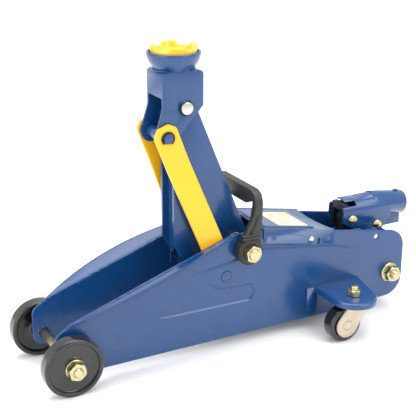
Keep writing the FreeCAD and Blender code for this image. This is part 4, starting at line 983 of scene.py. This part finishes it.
@dataclass
class Cover:
    """The screwed-on lid with its raised panel, dimples and a plain two-colour label.

    Attributes:
        half: half of its width.
        crest: X and Z where the plates' top edges start to fall.
        tail: X and Z where they end.
        skin: height of the lid's top face above those edges.
        panel_lift: height of the raised panel above the lid, low enough for the swung bail.
        film_lift: height of the label's film above the lid.
        print_lift: height of the label's blocks and rules above the lid.
    """

    half: float = 38.0
    crest: Point = (17.6, 130.5)
    tail: Point = (214.0, 94.3)
    skin: float = 1.65
    panel_lift: float = 0.42
    film_lift: float = 0.5
    print_lift: float = 0.58

    def top(self, x: float) -> float:
        """Height of the lid's top face at x."""
        slope = (self.crest[1] - self.tail[1]) / (self.tail[0] - self.crest[0])
        return self.crest[1] - slope * (x - self.crest[0]) + self.skin

    def sheet(self, outline: Sequence[Point], thick: float, lift: float,
              ease: float = 0.15) -> bmesh.types.BMesh:
        """A flat patch that lies on the lid, raised by lift."""
        return pressed_sheet(outline, [], thick, None,
                             lambda x, y, depth: (x, y, self.top(x) + lift - depth), spacing=6.0, ease=ease)

    def build(self) -> None:
        """Makes the lid, its screws and its label."""
        put_piece("cover_lid", softened("cover_plate", 0.3, 35), BLUE, "frame", ["cover_plate"])
        panel = rounded([(26, -31, 4), (92, -31, 4), (92, 31, 4), (26, 31, 4)])
        put_piece("cover_raised_panel", self.sheet(panel, 1.2, self.panel_lift, 0.4), BLUE, "frame")
        self.label()
        head = lathe([(0, 1.9), (1.6, 1.9), (2.6, 1.5), (3.2, 0.7), (3.2, 0)], Axis.Z, (0, 0, 0), 32)
        low, high = box_mm("cover_screws")
        middle = (low + high) / 2
        spots = [(middle.x, side.value * (self.half + 0.25), middle.z) for side in Side]
        screws = repeated(head, spots, BOTH_OUTWARD, WHITE_ZINC)
        put_piece("cover_screw_heads", screws, WHITE_ZINC, "frame", ["cover_screws"])
        dimple = lathe([(0, 0.35), (1.5, 0.3), (2.6, 0.05), (3.4, 0.0), (3.6, -0.3)], Axis.Z, (0, 0, 0), 32)
        places = [(x, side.value * (self.half + 0.2), z) for x,
                  z in ((34.2, 119.1), (104.5, 105.5)) for side in Side]
        marks = repeated(dimple, places, BOTH_OUTWARD * 2, BLUE)
        put_piece("cover_dimples", marks, BLUE, "frame")

    def label(self) -> None:
        """A printed film: a white field, yellow blocks and plain rules, with no words."""
        field = rounded([(47, -26.5, 2), (85.5, -26.5, 2), (85.5, 21, 2), (47, 21, 2)])
        put_piece("label_field", self.sheet(field, 0.25, self.film_lift, 0.05), LABEL_WHITE, "frame")
        blocks = [((47.6, -26), (49.4, 20.4)), ((83.2, -26), (85.0, 20.4)), ((50.4, 18.8), (82.2, 20.4)),
                  ((50.4, -26), (82.2, -24.6)), ((57, -23), (61.5, -14)), ((57, -11), (61.5, -2)),
                  ((57, 2), (61.5, 17)), ((67, -23), (69.4, 9)), ((75, 8), (81.8, 17.4)),
                  ((71, 12), (74, 17.4))]
        put_piece("label_blocks", joined(self.patches(blocks, 0.5)), LABEL_YELLOW, "frame")
        rules = [((x, -22 + 2 * (row % 2)), (x + 0.6, 17 - 4 * (row % 3)))
                 for row, x in enumerate((51.0, 52.8, 54.6, 63.0, 64.8))]
        rules += [((x, -22), (x + 0.5, 4)) for x in (71.4, 73.4, 75.4, 77.4, 79.4)]
        put_piece("label_rules", joined(self.patches(rules, 0.2)), LABEL_GREY, "frame")

    def patches(self, spans: Sequence[tuple[Point, Point]], corner: float) -> list[bmesh.types.BMesh]:
        """Flat oblongs on the label, each from its lowest to its highest corner."""
        return [self.sheet(rounded([(a[0], a[1], corner), (b[0], a[1], corner), (b[0], b[1], corner),
                                    (a[0], b[1], corner)]), 0.2, self.print_lift, 0.05) for a, b in spans]


@dataclass
class FrontRollers:
    """The front axle with its two glossy rollers, washers and nuts.

    Attributes:
        radius: roller radius.
        half: half of a roller's width.
        dish: depth of the dished face.
    """

    radius: float = 31.0
    half: float = 7.75
    dish: float = 2.4

    def roller(self, side: Side) -> None:
        """One roller with a rounded tread, a raised rim and a flat hub."""
        low, high = box_mm(f"{side.word}_front_wheel")
        centre = (low + high) / 2
        r, h, d = self.radius, self.half, self.dish
        face = [(5.1, h - d - 0.1), (5.6, h - d), (10.6, h - d), (11.4, h - d - 0.15), (12.0, h - d - 0.7),
                (12.6, h - d - 1.0), (24.2, h - d - 1.0), (25.4, h - d - 0.6), (25.9, h - d + 0.2),
                (26.2, h - 0.7), (26.8, h - 0.15), (27.6, h)]
        tread = [(r - 2.4 + 2.4 * math.sin(a), h - 2.4 + 2.4 * math.cos(a))
                 for a in (math.radians(t) for t in range(0, 91, 15))]
        crown = [(r - 0.05, h * 0.45), (r, h * 0.1)]
        half_profile = face + tread + crown
        profile = half_profile + [(radius, -height) for radius, height in reversed(half_profile)]
        bm = lathe(profile + [profile[0]], Axis.Y, centre, 128)
        bmesh.ops.remove_doubles(bm, verts=bm.verts, dist=0.001)
        put_piece(f"{side.word}_roller", bm, BLACK_NYLON, f"{side.word}_front_wheel",
                  [f"{side.word}_front_wheel"],
                  sharp=50)

    def build(self) -> None:
        """Makes the rollers and what holds them."""
        for side in Side:
            self.roller(side)
        low, high = box_mm("front_axle")
        axle = lathe([(0, low.y + 1.2), (4.2, low.y + 1.2), (4.6, low.y + 3), (4.95, low.y + 6),
                      (4.95, high.y - 6),
                      (4.6, high.y - 3), (4.2, high.y - 1.2), (0, high.y - 1.2)], Axis.Y,
                     (FRONT_AXLE.x, 0, FRONT_AXLE.z), 48)
        put_piece("front_axle_rod", axle, YELLOW_ZINC, "frame", ["front_axle"])
        put_piece("front_spacers", softened("front_axle_spacers", 0.5), YELLOW_ZINC, "frame",
                  ["front_axle_spacers"])
        washer = lathe([(5.2, 0.2), (5.4, 0), (9.4, 0), (10, 0.5), (10, 1.5), (9.4, 2), (5.4, 2), (5.2, 1.8),
                        (5.2, 0.2)], Axis.Z, (0, 0, 0), 48)
        both_sides_on(washer, "front_axle_washers", FRONT_AXLE, YELLOW_ZINC)
        both_sides_on(hex_nut(FLATS, 8.0, 4.6), "front_axle_nuts", FRONT_AXLE, YELLOW_ZINC, twist=12)
        _, nut = box_mm("front_axle_nuts")
        start = (FRONT_AXLE.x, nut.y - 3, FRONT_AXLE.z)
        tips = on_both_sides(lambda: bolt_end(5.0, high.y - nut.y + 3, PITCH, Axis.Y, start, YELLOW_ZINC))
        put_piece("front_axle_threads", tips, YELLOW_ZINC, "frame")


def both_sides_on(source: bmesh.types.BMesh, node: str, at: Vector, finish: Finish, twist: float = 0.0,
                  body: str = "frame") -> None:
    """Puts a turned fastener at both ends of a cross shaft, in place of a CAD node.

    Args:
        source: the fastener about its own Z axis, from height 0 outwards.
        node: the CAD node, whose box says where its inner faces lie.
        at: a point on the shaft.
        finish: its finish.
        twist: its turn about the shaft, in degrees.
        body: the CAD body that it rides on.
    """
    _, high = box_mm(node)
    depth = max(v.co.z for v in source.verts) - min(v.co.z for v in source.verts)
    source_turn = Matrix.Rotation(math.radians(twist), 4, "Z")
    bmesh.ops.transform(source, matrix=source_turn, verts=source.verts)
    start = high.y - depth
    bm = repeated(source, [(at.x, -start, at.z), (at.x, start, at.z)], BOTH_OUTWARD, finish)
    put_piece(node + "_pair", bm, finish, body, [node])


@dataclass
class MainPivot:
    """The shaft through the plates with its nuts and threaded ends."""

    def build(self) -> None:
        """Makes the shaft, nuts and thread."""
        put_piece("pivot_shaft", softened("main_pivot_shaft", 0.6), YELLOW_ZINC, "frame",
                  ["main_pivot_shaft"])
        both_sides_on(hex_nut(FLATS, 8.0, 5.8), "pivot_nuts", PIVOT, YELLOW_ZINC, twist=8)
        _, shaft = box_mm("main_pivot_shaft")
        _, nut = box_mm("pivot_nuts")
        start, shown = (PIVOT.x, nut.y, PIVOT.z), shaft.y - nut.y - 0.8
        rings = on_both_sides(lambda: coil(5.75, PITCH, shown, 0.62, Axis.Y, start, YELLOW_ZINC))
        put_piece("pivot_threads", rings, YELLOW_ZINC, "frame")
        stud = lathe([(0, 0.25), (2.4, 0.3), (3.2, 0.05), (4.2, 0.0), (5.0, 0.35), (5.8, 0.3), (6.05, -0.3)],
                     Axis.Z,
                     (0, 0, 0), 40)
        places = [(LINK_FOOT.x, side.value * SidePlates.outer_y, LINK_FOOT.z) for side in Side]
        marks = repeated(stud, places, BOTH_OUTWARD, BLUE)
        put_piece("staked_stud_ends", marks, BLUE, "frame")
        put_piece("link_studs", softened("link_pivot_studs", 0.4), BLUE, "frame", ["link_pivot_studs"])
        self.clips()

    def clips(self) -> None:
        """Clips that hold the feet of the link bars."""
        parts = []
        _, high = box_mm("link_stud_clips")
        for side in Side:
            parts.append(clip_ring(6.0, 7.9, 1.2, lambda x, z, depth, s=side: (
                LINK_FOOT.x + x, s.value * (high.y - depth), LINK_FOOT.z + z), 250))
        put_piece("foot_clips", joined(parts), WHITE_ZINC, "frame", ["link_stud_clips"])


@dataclass
class RearTie:
    """The cross bolt at the plates' rear with its flange nuts."""

    def build(self) -> None:
        """Makes the bolt and nuts."""
        low, high = box_mm("rear_tie_bolt")
        centre = (low + high) / 2
        put_piece("rear_bolt", softened("rear_tie_bolt", 0.5), YELLOW_ZINC, "frame", ["rear_tie_bolt"])
        both_sides_on(hex_nut(FLATS, 10.0, 4.9, flange=11.4), "rear_flange_nuts", centre, YELLOW_ZINC,
                      twist=20)
        _, nut = box_mm("rear_flange_nuts")
        start, shown = (centre.x, nut.y, centre.z), high.y - nut.y - 0.8
        tips = on_both_sides(lambda: coil(4.75, PITCH, shown, 0.6, Axis.Y, start, YELLOW_ZINC))
        put_piece("rear_bolt_threads", tips, YELLOW_ZINC, "frame")


@dataclass
class LiftArm:
    """The folded lift arm with its seam, bush and the roller that the ram pushes.

    Attributes:
        seam_x: X of the seam across the arm's front web.
        seam_z: its height.
        seam_half: half of its length.
        beads: number of weld drops along it.
    """

    seam_x: float = -66.5
    seam_z: float = 201.0
    seam_half: float = 11.2
    beads: int = 17

    def build(self) -> None:
        """Makes the arm and what rides in it."""
        put_piece("arm_pressing", softened("lift_arm", 1.3, 40, 3), BLUE, "arm", ["lift_arm"], sharp=40)
        bead = []
        for i in range(self.beads):
            along = -self.seam_half + 2 * self.seam_half * (i / (self.beads - 1))
            bead.append((self.seam_x - 0.2 + 0.15 * math.sin(i * 2.1), along,
                         self.seam_z + 0.4 * math.sin(i * 1.3)))
        drop = lathe([(0, 0.75), (0.55, 0.6), (0.95, 0.25), (1.05, 0)], Axis.Z, (0, 0, 0), 12)
        bm = repeated(drop, bead, [(0, math.radians(-90), 0)] * len(bead), BLUE)
        put_piece("arm_seam_weld", bm, BLUE, "arm", sharp=60)
        for node, finish in (("arm_bush", BRIGHT_STEEL), ("ear_pin", WHITE_ZINC),
                             ("ear_roller", BRIGHT_STEEL)):
            put_piece(node + "_turned", softened(node, 0.4), finish, "arm", [node])


@dataclass
class SaddleHead:
    """The bracket on the arm's tip, its pins, the welded cup and the notched pad.

    Attributes:
        cup_radius: radius of the cup's rim.
        pad_radius: radius of the pad.
        pad_rim: height of its rim between the lugs.
        pad_dish: height of its dished middle.
        lugs: number of raised lugs.
        first_lug: where the first one stands, in degrees.
    """

    cup_radius: float = 27.4
    pad_radius: float = 23.6
    pad_rim: float = 326.2
    pad_dish: float = 322.4
    lugs: int = 4
    first_lug: float = -14.0

    def on_fold(self, first: Vector, last: Vector) -> bool:
        """True for the outer edges where the bracket's sheet is folded."""
        low, high = box_mm("saddle_bracket")
        front = max(first.x, last.x) < low.x + 0.05
        top = min(first.z, last.z) > high.z - 0.05
        outer = min(abs(first.y), abs(last.y)) > high.y - 0.05
        return outer and (front or top)

    def bracket(self) -> None:
        """The folded bracket and the weld round the cup's neck."""
        bent = softened("saddle_bracket", 0.8, 40, 2, 2.6, self.on_fold)
        put_piece("bracket_pressing", bent, BLUE, "saddle", ["saddle_bracket"], sharp=40)
        low, high = box_mm("saddle_cup")
        centre = (low + high) / 2
        count = 64
        spots, turns = [], []
        for i in range(count):
            angle = 2 * math.pi * i / count
            radius = 20.6 + 0.35 * math.sin(5.3 * i)
            spots.append((centre.x + radius * math.cos(angle), radius * math.sin(angle) * 0.86, low.z + 0.2))
            turns.append((0.2 * math.sin(2.7 * i), 0.25 * math.cos(3.1 * i), angle))
        bead = lathe([(0, 1.5), (1.1, 1.3), (1.8, 0.7), (2.1, 0), (1.7, -0.5), (0, -0.7)], Axis.Z, (0, 0, 0),
                     14)
        put_piece("cup_weld", repeated(bead, spots, turns, BLUE), BLUE, "saddle", sharp=70)

    def cup(self) -> None:
        """The round cup with its rolled rim."""
        low, high = box_mm("saddle_cup")
        centre = ((low.x + high.x) / 2, 0, low.z)
        tall, r = high.z - low.z, self.cup_radius
        outer = [(0, 0), (19.6, 0), (20.4, 0.5), (20.9, 1.4), (21.8, 2.6), (23.6, 5.2), (25.2, 8.0),
                 (26.3, 10.6),
                 (27.0, 13.2), (r, 15.8), (r, tall - 1.1), (r - 0.35, tall - 0.35), (r - 1.1, tall),
                 (r - 1.9, tall - 0.35), (r - 2.3, tall - 1.1), (r - 2.7, 14.6), (22.4, 9), (17.5, 4.9),
                 (0, 4.6)]
        put_piece("cup_turning", lathe(outer, Axis.Z, centre, 128), BLUE, "saddle", ["saddle_cup"], sharp=50)

    def pad(self) -> None:
        """The pad with its dished middle and rounded lugs."""
        low, high = box_mm("saddle_pad")
        centre = Vector(((low.x + high.x) / 2, 0, 0))
        rim, top, dish = self.pad_rim, high.z, self.pad_dish
        steps = 160
        bm = bmesh.new()
        rings = [0.0, 4, 8, 11, 13.5, 15, 16.2, 17.2, 18, 18.8, 19.6, 20.5, 21.4, 22.2, 22.8, 23.2, 23.45,
                 self.pad_radius]

        def height(radius: float, angle: float) -> float:
            """Height of the pad's upper face."""
            swing = math.cos(self.lugs * (angle - math.radians(self.first_lug)))
            lug = float(smooth(np.array((swing + 0.35) / 0.9)))
            crest = rim + (top - rim) * lug
            wall = float(smooth(np.array((radius - 14.8) / 4.0)))
            edge = max(0.0, (radius - 21.6) / 2.0)
            return dish + (crest - dish) * wall - 1.4 * (1 - math.sqrt(max(0.0, 1 - edge ** 2)))

        rows = []
        for radius in rings:
            count = 1 if radius == 0 else steps
            rows.append([bm.verts.new((centre.x + radius * math.cos(a), radius * math.sin(a),
                                       height(radius, a)))
                         for a in (2 * math.pi * i / steps for i in range(count))])
        for radius, level in ((self.pad_radius, 323.2), (23.2, 320), (20, 315.5), (16.6, low.z + 0.1),
                              (0.0, low.z)):
            count = 1 if radius == 0 else steps
            rows.append([bm.verts.new((centre.x + radius * math.cos(a), radius * math.sin(a), level))
                         for a in (2 * math.pi * i / steps for i in range(count))])
        for one, two in zip(rows, rows[1:]):
            for i in range(steps):
                corners = [one[i % len(one)], one[(i + 1) % len(one)], two[(i + 1) % len(two)],
                           two[i % len(two)]]
                distinct = list(dict.fromkeys(corners))
                if len(distinct) > 2:
                    bm.faces.new(distinct)
        put_piece("pad_moulding", bm, YELLOW, "saddle", ["saddle_pad"], sharp=60)

    def pins(self) -> None:
        """Cross pins, tube and clips."""
        for node, finish in (("link_tube", BLUE), ("link_pin", BLUE), ("saddle_pin", WHITE_ZINC)):
            put_piece(node + "_turned", softened(node, 0.7), finish, "saddle", [node])
        for node, at, pin, outer, mouth in (("link_clips", LINK_PIN, 5.0, 7.4, 265),
                                            ("saddle_pin_clips", SADDLE_PIN, 6.5, 7.85, 100)):
            _, high = box_mm(node)
            parts = [clip_ring(pin, outer, 1.2, lambda x, z, depth, s=side, h=high.y, p=at: (
                p.x + x, s.value * (h - depth), p.z + z), mouth) for side in Side]
            put_piece(node + "_pair", joined(parts), BLACK_STEEL, "saddle", [node])

    def build(self) -> None:
        """Makes the whole head."""
        self.bracket()
        self.cup()
        self.pad()
        self.pins()


@dataclass
class LinkBars:
    """The two flat bars that keep the saddle level.

    Attributes:
        length: distance between their holes.
        half: half of their width.
        thick: their thickness.
        lean: how far they lean forward, in degrees.
        foot_y: inner face at the foot.
        top_y: inner face at the top.
    """

    length: float = 167.4
    half: float = 13.0
    thick: float = 4.0
    lean: float = 21.184
    foot_y: float = 28.8
    top_y: float = 18.8

    def build(self) -> None:
        """Makes both bars."""
        outline = arc(0, 0, self.half, 180, 360, 24)
        outline += rounded([(self.half, self.length * 0.5, 0), (self.half, self.length + 6.5, 5),
                            (6.5, self.length + self.half, 5), (-6.5, self.length + self.half, 5),
                            (-self.half, self.length + 6.5, 5), (-self.half, self.length * 0.5, 0)])
        holes = [arc(0, 0, 6.1, 0, 345, 23), arc(0, self.length, 5.4, 0, 345, 23)]
        turn = math.radians(self.lean)

        def inner_y(along: float) -> float:
            """The bar's inner face at a distance from its foot."""
            share = (along - self.length / 4) / (self.length * 0.55)
            return self.foot_y + (self.top_y - self.foot_y) * min(1.0, max(0.0, share))

        for side in Side:
            def place(across: float, along: float, depth: float,
                      s: int = side.value) -> tuple[float, float, float]:
                """Turns the bar's flat coordinates into the row frame."""
                return (LINK_FOOT.x + across * math.cos(turn) - along * math.sin(turn),
                        s * (inner_y(along) + self.thick - depth),
                        LINK_FOOT.z + across * math.sin(turn) + along * math.cos(turn))

            bm = pressed_sheet(outline, holes, self.thick, None, place, spacing=5.0, ease=0.8)
            put_piece(f"{side.word}_bar", bm, YELLOW, f"{side.word}_link", [f"{side.word}_link_bar"],
                      sharp=40)


@dataclass
class Hydraulics:
    """The block, cylinder, ram, pump and draw-back springs between the plates.

    Attributes:
        wire: radius of the springs' wire.
        pitch: their pitch when closed.
        coil_radius: their outer radius.
        spring_y: distance of their middle lines from the middle plane.
        spring_z: height of their middle lines.
    """

    wire: float = 0.9
    pitch: float = 2.1
    coil_radius: float = 3.4
    spring_y: float = 29.0
    spring_z: float = 58.0

    def springs(self) -> None:
        """Two springs from the shoe to the rear posts."""
        low, high = box_mm("return_springs")
        front = box_mm("ram_shoe")[1].x
        parts = []
        for side in Side:
            start = (front + 0.3, side.value * self.spring_y, self.spring_z)
            parts.append(coil(self.coil_radius - self.wire, self.pitch * 1.9, high.x - front - 0.3, self.wire,
                              Axis.X, start,
                              BLACK_STEEL))
        piece = put_piece("draw_back_springs", joined(parts), BLACK_STEEL, "frame", ["return_springs"],
                          sharp=60)
        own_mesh(piece)

    def build(self) -> None:
        """Makes the unit."""
        plain = {"pump_block": (BLUE, 1.2), "cylinder_tube": (BRIGHT_STEEL, 0.5),
                 "reservoir_tube": (BRIGHT_STEEL, 0.6),
                 "ram_gland": (BRIGHT_STEEL, 0.6), "filler_plug": (BLACK_RUBBER, 0.5),
                 "ram_rod": (BRIGHT_STEEL, 0.5),
                 "ram_shoe": (BRIGHT_STEEL, 0.8), "pump_barrel": (BRIGHT_STEEL, 0.4),
                 "pump_plunger": (BRIGHT_STEEL, 0.4), "release_valve": (WHITE_ZINC, 0.4),
                 "block_screws": (WHITE_ZINC, 0.4)}
        for node, (finish, width) in plain.items():
            put_piece(node + "_finished", softened(node, width), finish, body_of(node), [node])
        self.springs()


@dataclass
class HandleSocket:
    """The pressed socket for the pump handle, its stand, lever and two rivets.

    Attributes:
        drive_x: X of the pin that drives the plunger.
        drive_z: its height.
        face_y: distance from the middle plane to the faces that the rivets' domes sit on.
    """

    drive_x: float = 190.8
    drive_z: float = 99.1
    face_y: float = 15.2

    def build(self) -> None:
        """Makes the socket and its fittings."""
        put_piece("socket_pressing", softened("handle_socket", 0.5, 42, 2), BLUE, "socket", ["handle_socket"],
                  sharp=45)
        put_piece("socket_stand_cast", softened("socket_stand", 0.8), BLACK_STEEL, "frame", ["socket_stand"])
        put_piece("lever_forging", softened("pump_lever", 0.8), BLACK_STEEL, "socket", ["pump_lever"])
        put_piece("set_screw", softened("socket_set_screw", 0.5), BLUE, "socket", ["socket_set_screw"])
        parts = [softened("socket_pins", 0.3)]
        drive = Vector((self.drive_x, 0, self.drive_z))
        dome = [(0, 2.6), (2.2, 2.5), (4.2, 2.0), (5.4, 1.2), (5.9, 0.3), (5.9, -0.4)]
        spots, turns = [], []
        for at in (HINGE, drive):
            for side in Side:
                spots.append((at.x, side.value * self.face_y, at.z))
                turns.append(OUTWARD[side])
        parts.append(repeated(lathe(dome, Axis.Z, (0, 0, 0), 40), spots, turns, YELLOW_ZINC))
        put_piece("socket_rivets", joined(parts), YELLOW_ZINC, "socket", ["socket_pins"])


@dataclass
class Casters:
    """The two swivel casters under their pressed brackets.

    Attributes:
        radius: wheel radius.
        half: half of a wheel's width.
        shelf_y: distance from the middle plane past which the shelf stands clear of the plate.
        nut_thick: height of the stud nuts.
    """

    radius: float = 20.25
    half: float = 7.75
    shelf_y: float = 45.0
    nut_thick: float = 7.0

    def on_shelf_rim(self, first: Vector, last: Vector) -> bool:
        """True for an edge that runs round the top of a bracket's shelf, away from the plate."""
        _, high = box_mm("left_caster_bracket")
        return min(first.z, last.z) > high.z - 0.05 and max(abs(first.y), abs(last.y)) > self.shelf_y

    def wheel(self, side: Side) -> None:
        """One caster wheel with rounded shoulders."""
        low, high = box_mm(f"{side.word}_caster_wheel")
        centre = (low + high) / 2
        r, h = self.radius, self.half
        face = [(4.1, h - 0.2), (4.6, h), (7.8, h), (8.6, h - 0.5), (9.2, h - 1.0), (13.6, h - 1.0),
                (14.4, h - 0.6),
                (15.0, h - 0.1), (15.8, h)]
        tread = [(r - 2.6 + 2.6 * math.sin(a), h - 2.6 + 2.6 * math.cos(a))
                 for a in (math.radians(t) for t in range(0, 91, 15))]
        half_profile = face + tread
        profile = half_profile + [(radius, -height) for radius, height in reversed(half_profile)]
        bm = lathe(profile + [profile[0]], Axis.Y, centre, 96)
        bmesh.ops.remove_doubles(bm, verts=bm.verts, dist=0.001)
        put_piece(f"{side.word}_caster_roller", bm, BLACK_NYLON, f"{side.word}_caster_wheel",
                  [f"{side.word}_caster_wheel"], sharp=50)

    def build(self) -> None:
        """Makes brackets, forks, wheels and fasteners."""
        stud = joint_place("left_caster_swivel")
        for side in Side:
            name = side.word
            shelf = softened(f"{name}_caster_bracket", 0.7, 40, 2, 5.0, self.on_shelf_rim)
            put_piece(f"{name}_bracket_pressing", shelf, BLUE, "frame", [f"{name}_caster_bracket"], sharp=40)
            put_piece(f"{name}_fork_pressing", softened(f"{name}_caster_fork", 0.6, 40), CREAM_ZINC,
                      f"{name}_caster", [f"{name}_caster_fork"])
            rivet = softened(f"{name}_caster_axle", 0.3)
            low, high = box_mm(f"{name}_caster_axle")
            middle = (low + high) / 2
            dome = lathe([(0, 2.1), (2.6, 2.0), (4.6, 1.4), (5.6, 0.6), (5.8, 0)], Axis.Z, (0, 0, 0), 32)
            reach = high.y - middle.y - 1.6
            heads = repeated(dome, [(middle.x, middle.y + s.value * reach, middle.z) for s in Side],
                             BOTH_OUTWARD, CREAM_ZINC)
            put_piece(f"{name}_caster_rivet", joined([rivet, heads]), CREAM_ZINC, f"{name}_caster",
                      [f"{name}_caster_axle"])
            self.wheel(side)
        _, nut_top = box_mm("caster_nuts")
        spots = [(stud.x, side.value * abs(stud.y), nut_top.z - self.nut_thick) for side in Side]
        nuts = repeated(hex_nut(13.0, self.nut_thick, 3.8), spots, [(0, 0, 0.3), (0, 0, 0.9)], YELLOW_ZINC)
        put_piece("caster_nut_pair", nuts, YELLOW_ZINC, "frame", ["caster_nuts"])
        put_piece("caster_stud_pair", softened("caster_studs", 0.5), YELLOW_ZINC, "frame", ["caster_studs"])
        put_piece("caster_washer_pair", softened("caster_washers", 0.2), YELLOW_ZINC, "frame",
                  ["caster_washers"])
        _, top = box_mm("caster_studs")
        threads = [coil(3.8, 1.25, top.z - nut_top.z - 0.8, 0.5, Axis.Z, (x, y, nut_top.z), YELLOW_ZINC)
                   for x, y, _ in spots]
        put_piece("caster_stud_threads", joined(threads), YELLOW_ZINC, "frame")


@dataclass
class Bail:
    """The moulded carrying handle on the ends of the main pivot.

    Attributes:
        ease: width of its rounded edges.
        collar_y: distance from the middle plane to the collars' feet.
        tooth_y: distance from the middle plane to the serrations' feet.
        tooth_ring: radius of the ring that the serrations stand on.
        teeth: number of serrations round each foot.
        rib_y: distance from the middle plane to the ribs' outer faces.
    """

    ease: float = 2.0
    collar_y: float = 48.0
    tooth_y: float = 47.9
    tooth_ring: float = 13.6
    teeth: int = 44
    rib_y: float = 47.3

    def build(self) -> None:
        """Makes the bail and its collars."""
        put_piece("bail_moulding", softened("carry_handle", self.ease, 40, 3), BLACK_PLASTIC, "bail",
                  ["carry_handle"], sharp=40)
        collar = lathe([(8.8, 0.0), (8.8, 0.9), (9.6, 1.2), (12.2, 1.2), (13.0, 0.9), (13.2, 0.0)], Axis.Z,
                       (0, 0, 0),
                       64)
        spots = [(PIVOT.x, side.value * self.collar_y, PIVOT.z) for side in Side]
        rings = repeated(collar, spots, BOTH_OUTWARD, BLACK_PLASTIC)
        put_piece("bail_collars", rings, BLACK_PLASTIC, "bail")
        tooth = lathe([(0, 0.75), (0.5, 0.65), (0.75, 0.3), (0.8, -0.3)], Axis.Z, (0, 0, 0), 8)
        count, ring = self.teeth, self.tooth_ring
        spots = [(PIVOT.x + ring * math.cos(a), side.value * self.tooth_y, PIVOT.z + ring * math.sin(a))
                 for side in Side for a in (2 * math.pi * i / count for i in range(count))]
        turns = [OUTWARD[side] for side in Side for _ in range(count)]
        teeth = repeated(tooth, spots, turns, BLACK_PLASTIC)
        put_piece("bail_serrations", teeth, BLACK_PLASTIC, "bail", sharp=60)
        for side in Side:
            parts = [self.slab(side, (-9.5, 12.8), (13.2, 16.0), 48.2, 1.2),
                     self.slab(side, (-8.6, 11.9), (16.0, 19.2), 47.4, 1.0)]
            for foot, top in (((-6.5, -1.2), (3.2, 6.2)), ((2.2, 8.8), (9.4, 13.6))):
                parts.append(self.rib(side, foot, top))
            put_piece(f"{side.word}_bail_root", joined(parts), BLACK_PLASTIC, "bail")

    def slab(self, side: Side, across: Point, levels: Point, outer: float, ease: float) -> bmesh.types.BMesh:
        """A rounded band round the foot of one leg.

        Args:
            side: the jack's side.
            across: its reach along X from the pivot.
            levels: its lower and upper height above the pivot.
            outer: distance from the middle plane to its outer face.
            ease: radius of its rims.

        Returns:
            The mesh, in millimetres.
        """
        inner = 38.6
        outline = rounded([(across[0], inner, 2), (across[1], inner, 2), (across[1], outer, 2),
                           (across[0], outer, 2)])
        return pressed_sheet(outline, [], levels[1] - levels[0], None, lambda x, y, depth: (
            PIVOT.x + x, side.value * y, PIVOT.z + levels[1] - depth), spacing=2.5, ease=ease)

    def rib(self, side: Side, foot: Point, top: Point) -> bmesh.types.BMesh:
        """One of the two ribs that run from the band up into the leg's outer face."""
        outline = rounded([(foot[0], 18.5, 0.5), (foot[1], 18.5, 0.5), (top[1], 38.0, 1.0),
                           (top[0], 38.0, 1.0)])
        return pressed_sheet(outline, [], 6.0, None, lambda x, z, depth: (
            PIVOT.x + x, side.value * (self.rib_y - depth), PIVOT.z + z), spacing=2.5, ease=0.8)


# ---- stage ----

@dataclass
class Studio:
    """Plain floor, soft light and the camera."""

    camera_at: tuple = (-0.4996, -0.8737, 0.5097)
    camera_turn: tuple = (-19.85, 0.2, -28.44)
    lens: float = 85.67

    def camera(self) -> None:
        """Places the camera."""
        made = bpy.data.cameras.new("camera")
        made.lens = self.lens
        made.sensor_width = 36.0
        made.clip_end = 50.0
        down, roll, turn = (math.radians(a) for a in self.camera_turn)
        camera = bpy.data.objects.new("camera", made)
        camera.matrix_world = (Matrix.Translation(self.camera_at) @ Matrix.Rotation(turn, 4, "Z")
                               @ Matrix.Rotation(math.radians(90) + down, 4, "X") @ Matrix.Rotation(roll, 4,
                                                                                                    "Z"))
        bpy.context.scene.collection.objects.link(camera)
        bpy.context.scene.camera = camera

    def lamp(self, name: str, at: Sequence[float], size: float, power: float) -> None:
        """A square soft light that faces the jack's middle."""
        made = bpy.data.lights.new(name, "AREA")
        made.size = size
        made.energy = power
        lamp = bpy.data.objects.new(name, made)
        aim = Vector((0, 0, 0.12)) - Vector(at)
        lamp.matrix_world = Matrix.Translation(at) @ aim.to_track_quat("-Z", "Y").to_matrix().to_4x4()
        bpy.context.scene.collection.objects.link(lamp)

    def build(self) -> None:
        """Makes the stage."""
        self.camera()
        self.lamp("top_softbox", (0.1, 0.2, 1.6), 1.4, 20.0)
        self.lamp("left_softbox", (-1.5, -0.3, 0.7), 1.2, 11.0)
        self.lamp("front_softbox", (0.75, -1.3, 1.25), 1.2, 15.0)
        world = bpy.data.worlds.new("studio")
        bpy.context.scene.world = world
        world.use_nodes = True
        world.node_tree.nodes["Background"].inputs["Color"].default_value = (1, 1, 1, 1)
        world.node_tree.nodes["Background"].inputs["Strength"].default_value = 1.0
        bpy.context.scene.view_settings.view_transform = "Standard"
        bm = bmesh.new()
        bmesh.ops.create_grid(bm, x_segments=8, y_segments=8, size=6.0)
        mesh = bpy.data.meshes.new("floor")
        bm.to_mesh(mesh)
        bm.free()
        paper = bpy.data.materials.new("pale_paper")
        paper.use_nodes = True
        paper.node_tree.nodes["Principled BSDF"].inputs["Base Color"].default_value = (0.93, 0.93, 0.93, 1)
        paper.node_tree.nodes["Principled BSDF"].inputs["Roughness"].default_value = 0.8
        mesh.materials.append(paper)
        floor = bpy.data.objects.new("floor", mesh)
        bpy.context.scene.collection.objects.link(floor)


def main() -> None:
    """Builds every sub-assembly in order."""
    logging.basicConfig(level=logging.INFO, format="%(message)s")
    assemblies = [SidePlates(), Cover(), FrontRollers(), MainPivot(), RearTie(), LiftArm(), SaddleHead(),
                  LinkBars(),
                  Hydraulics(), HandleSocket(), Casters(), Bail(), Studio()]
    for assembly in assemblies:
        log.info("building %s", type(assembly).__name__)
        assembly.build()


if __name__ == "__main__":
    main()
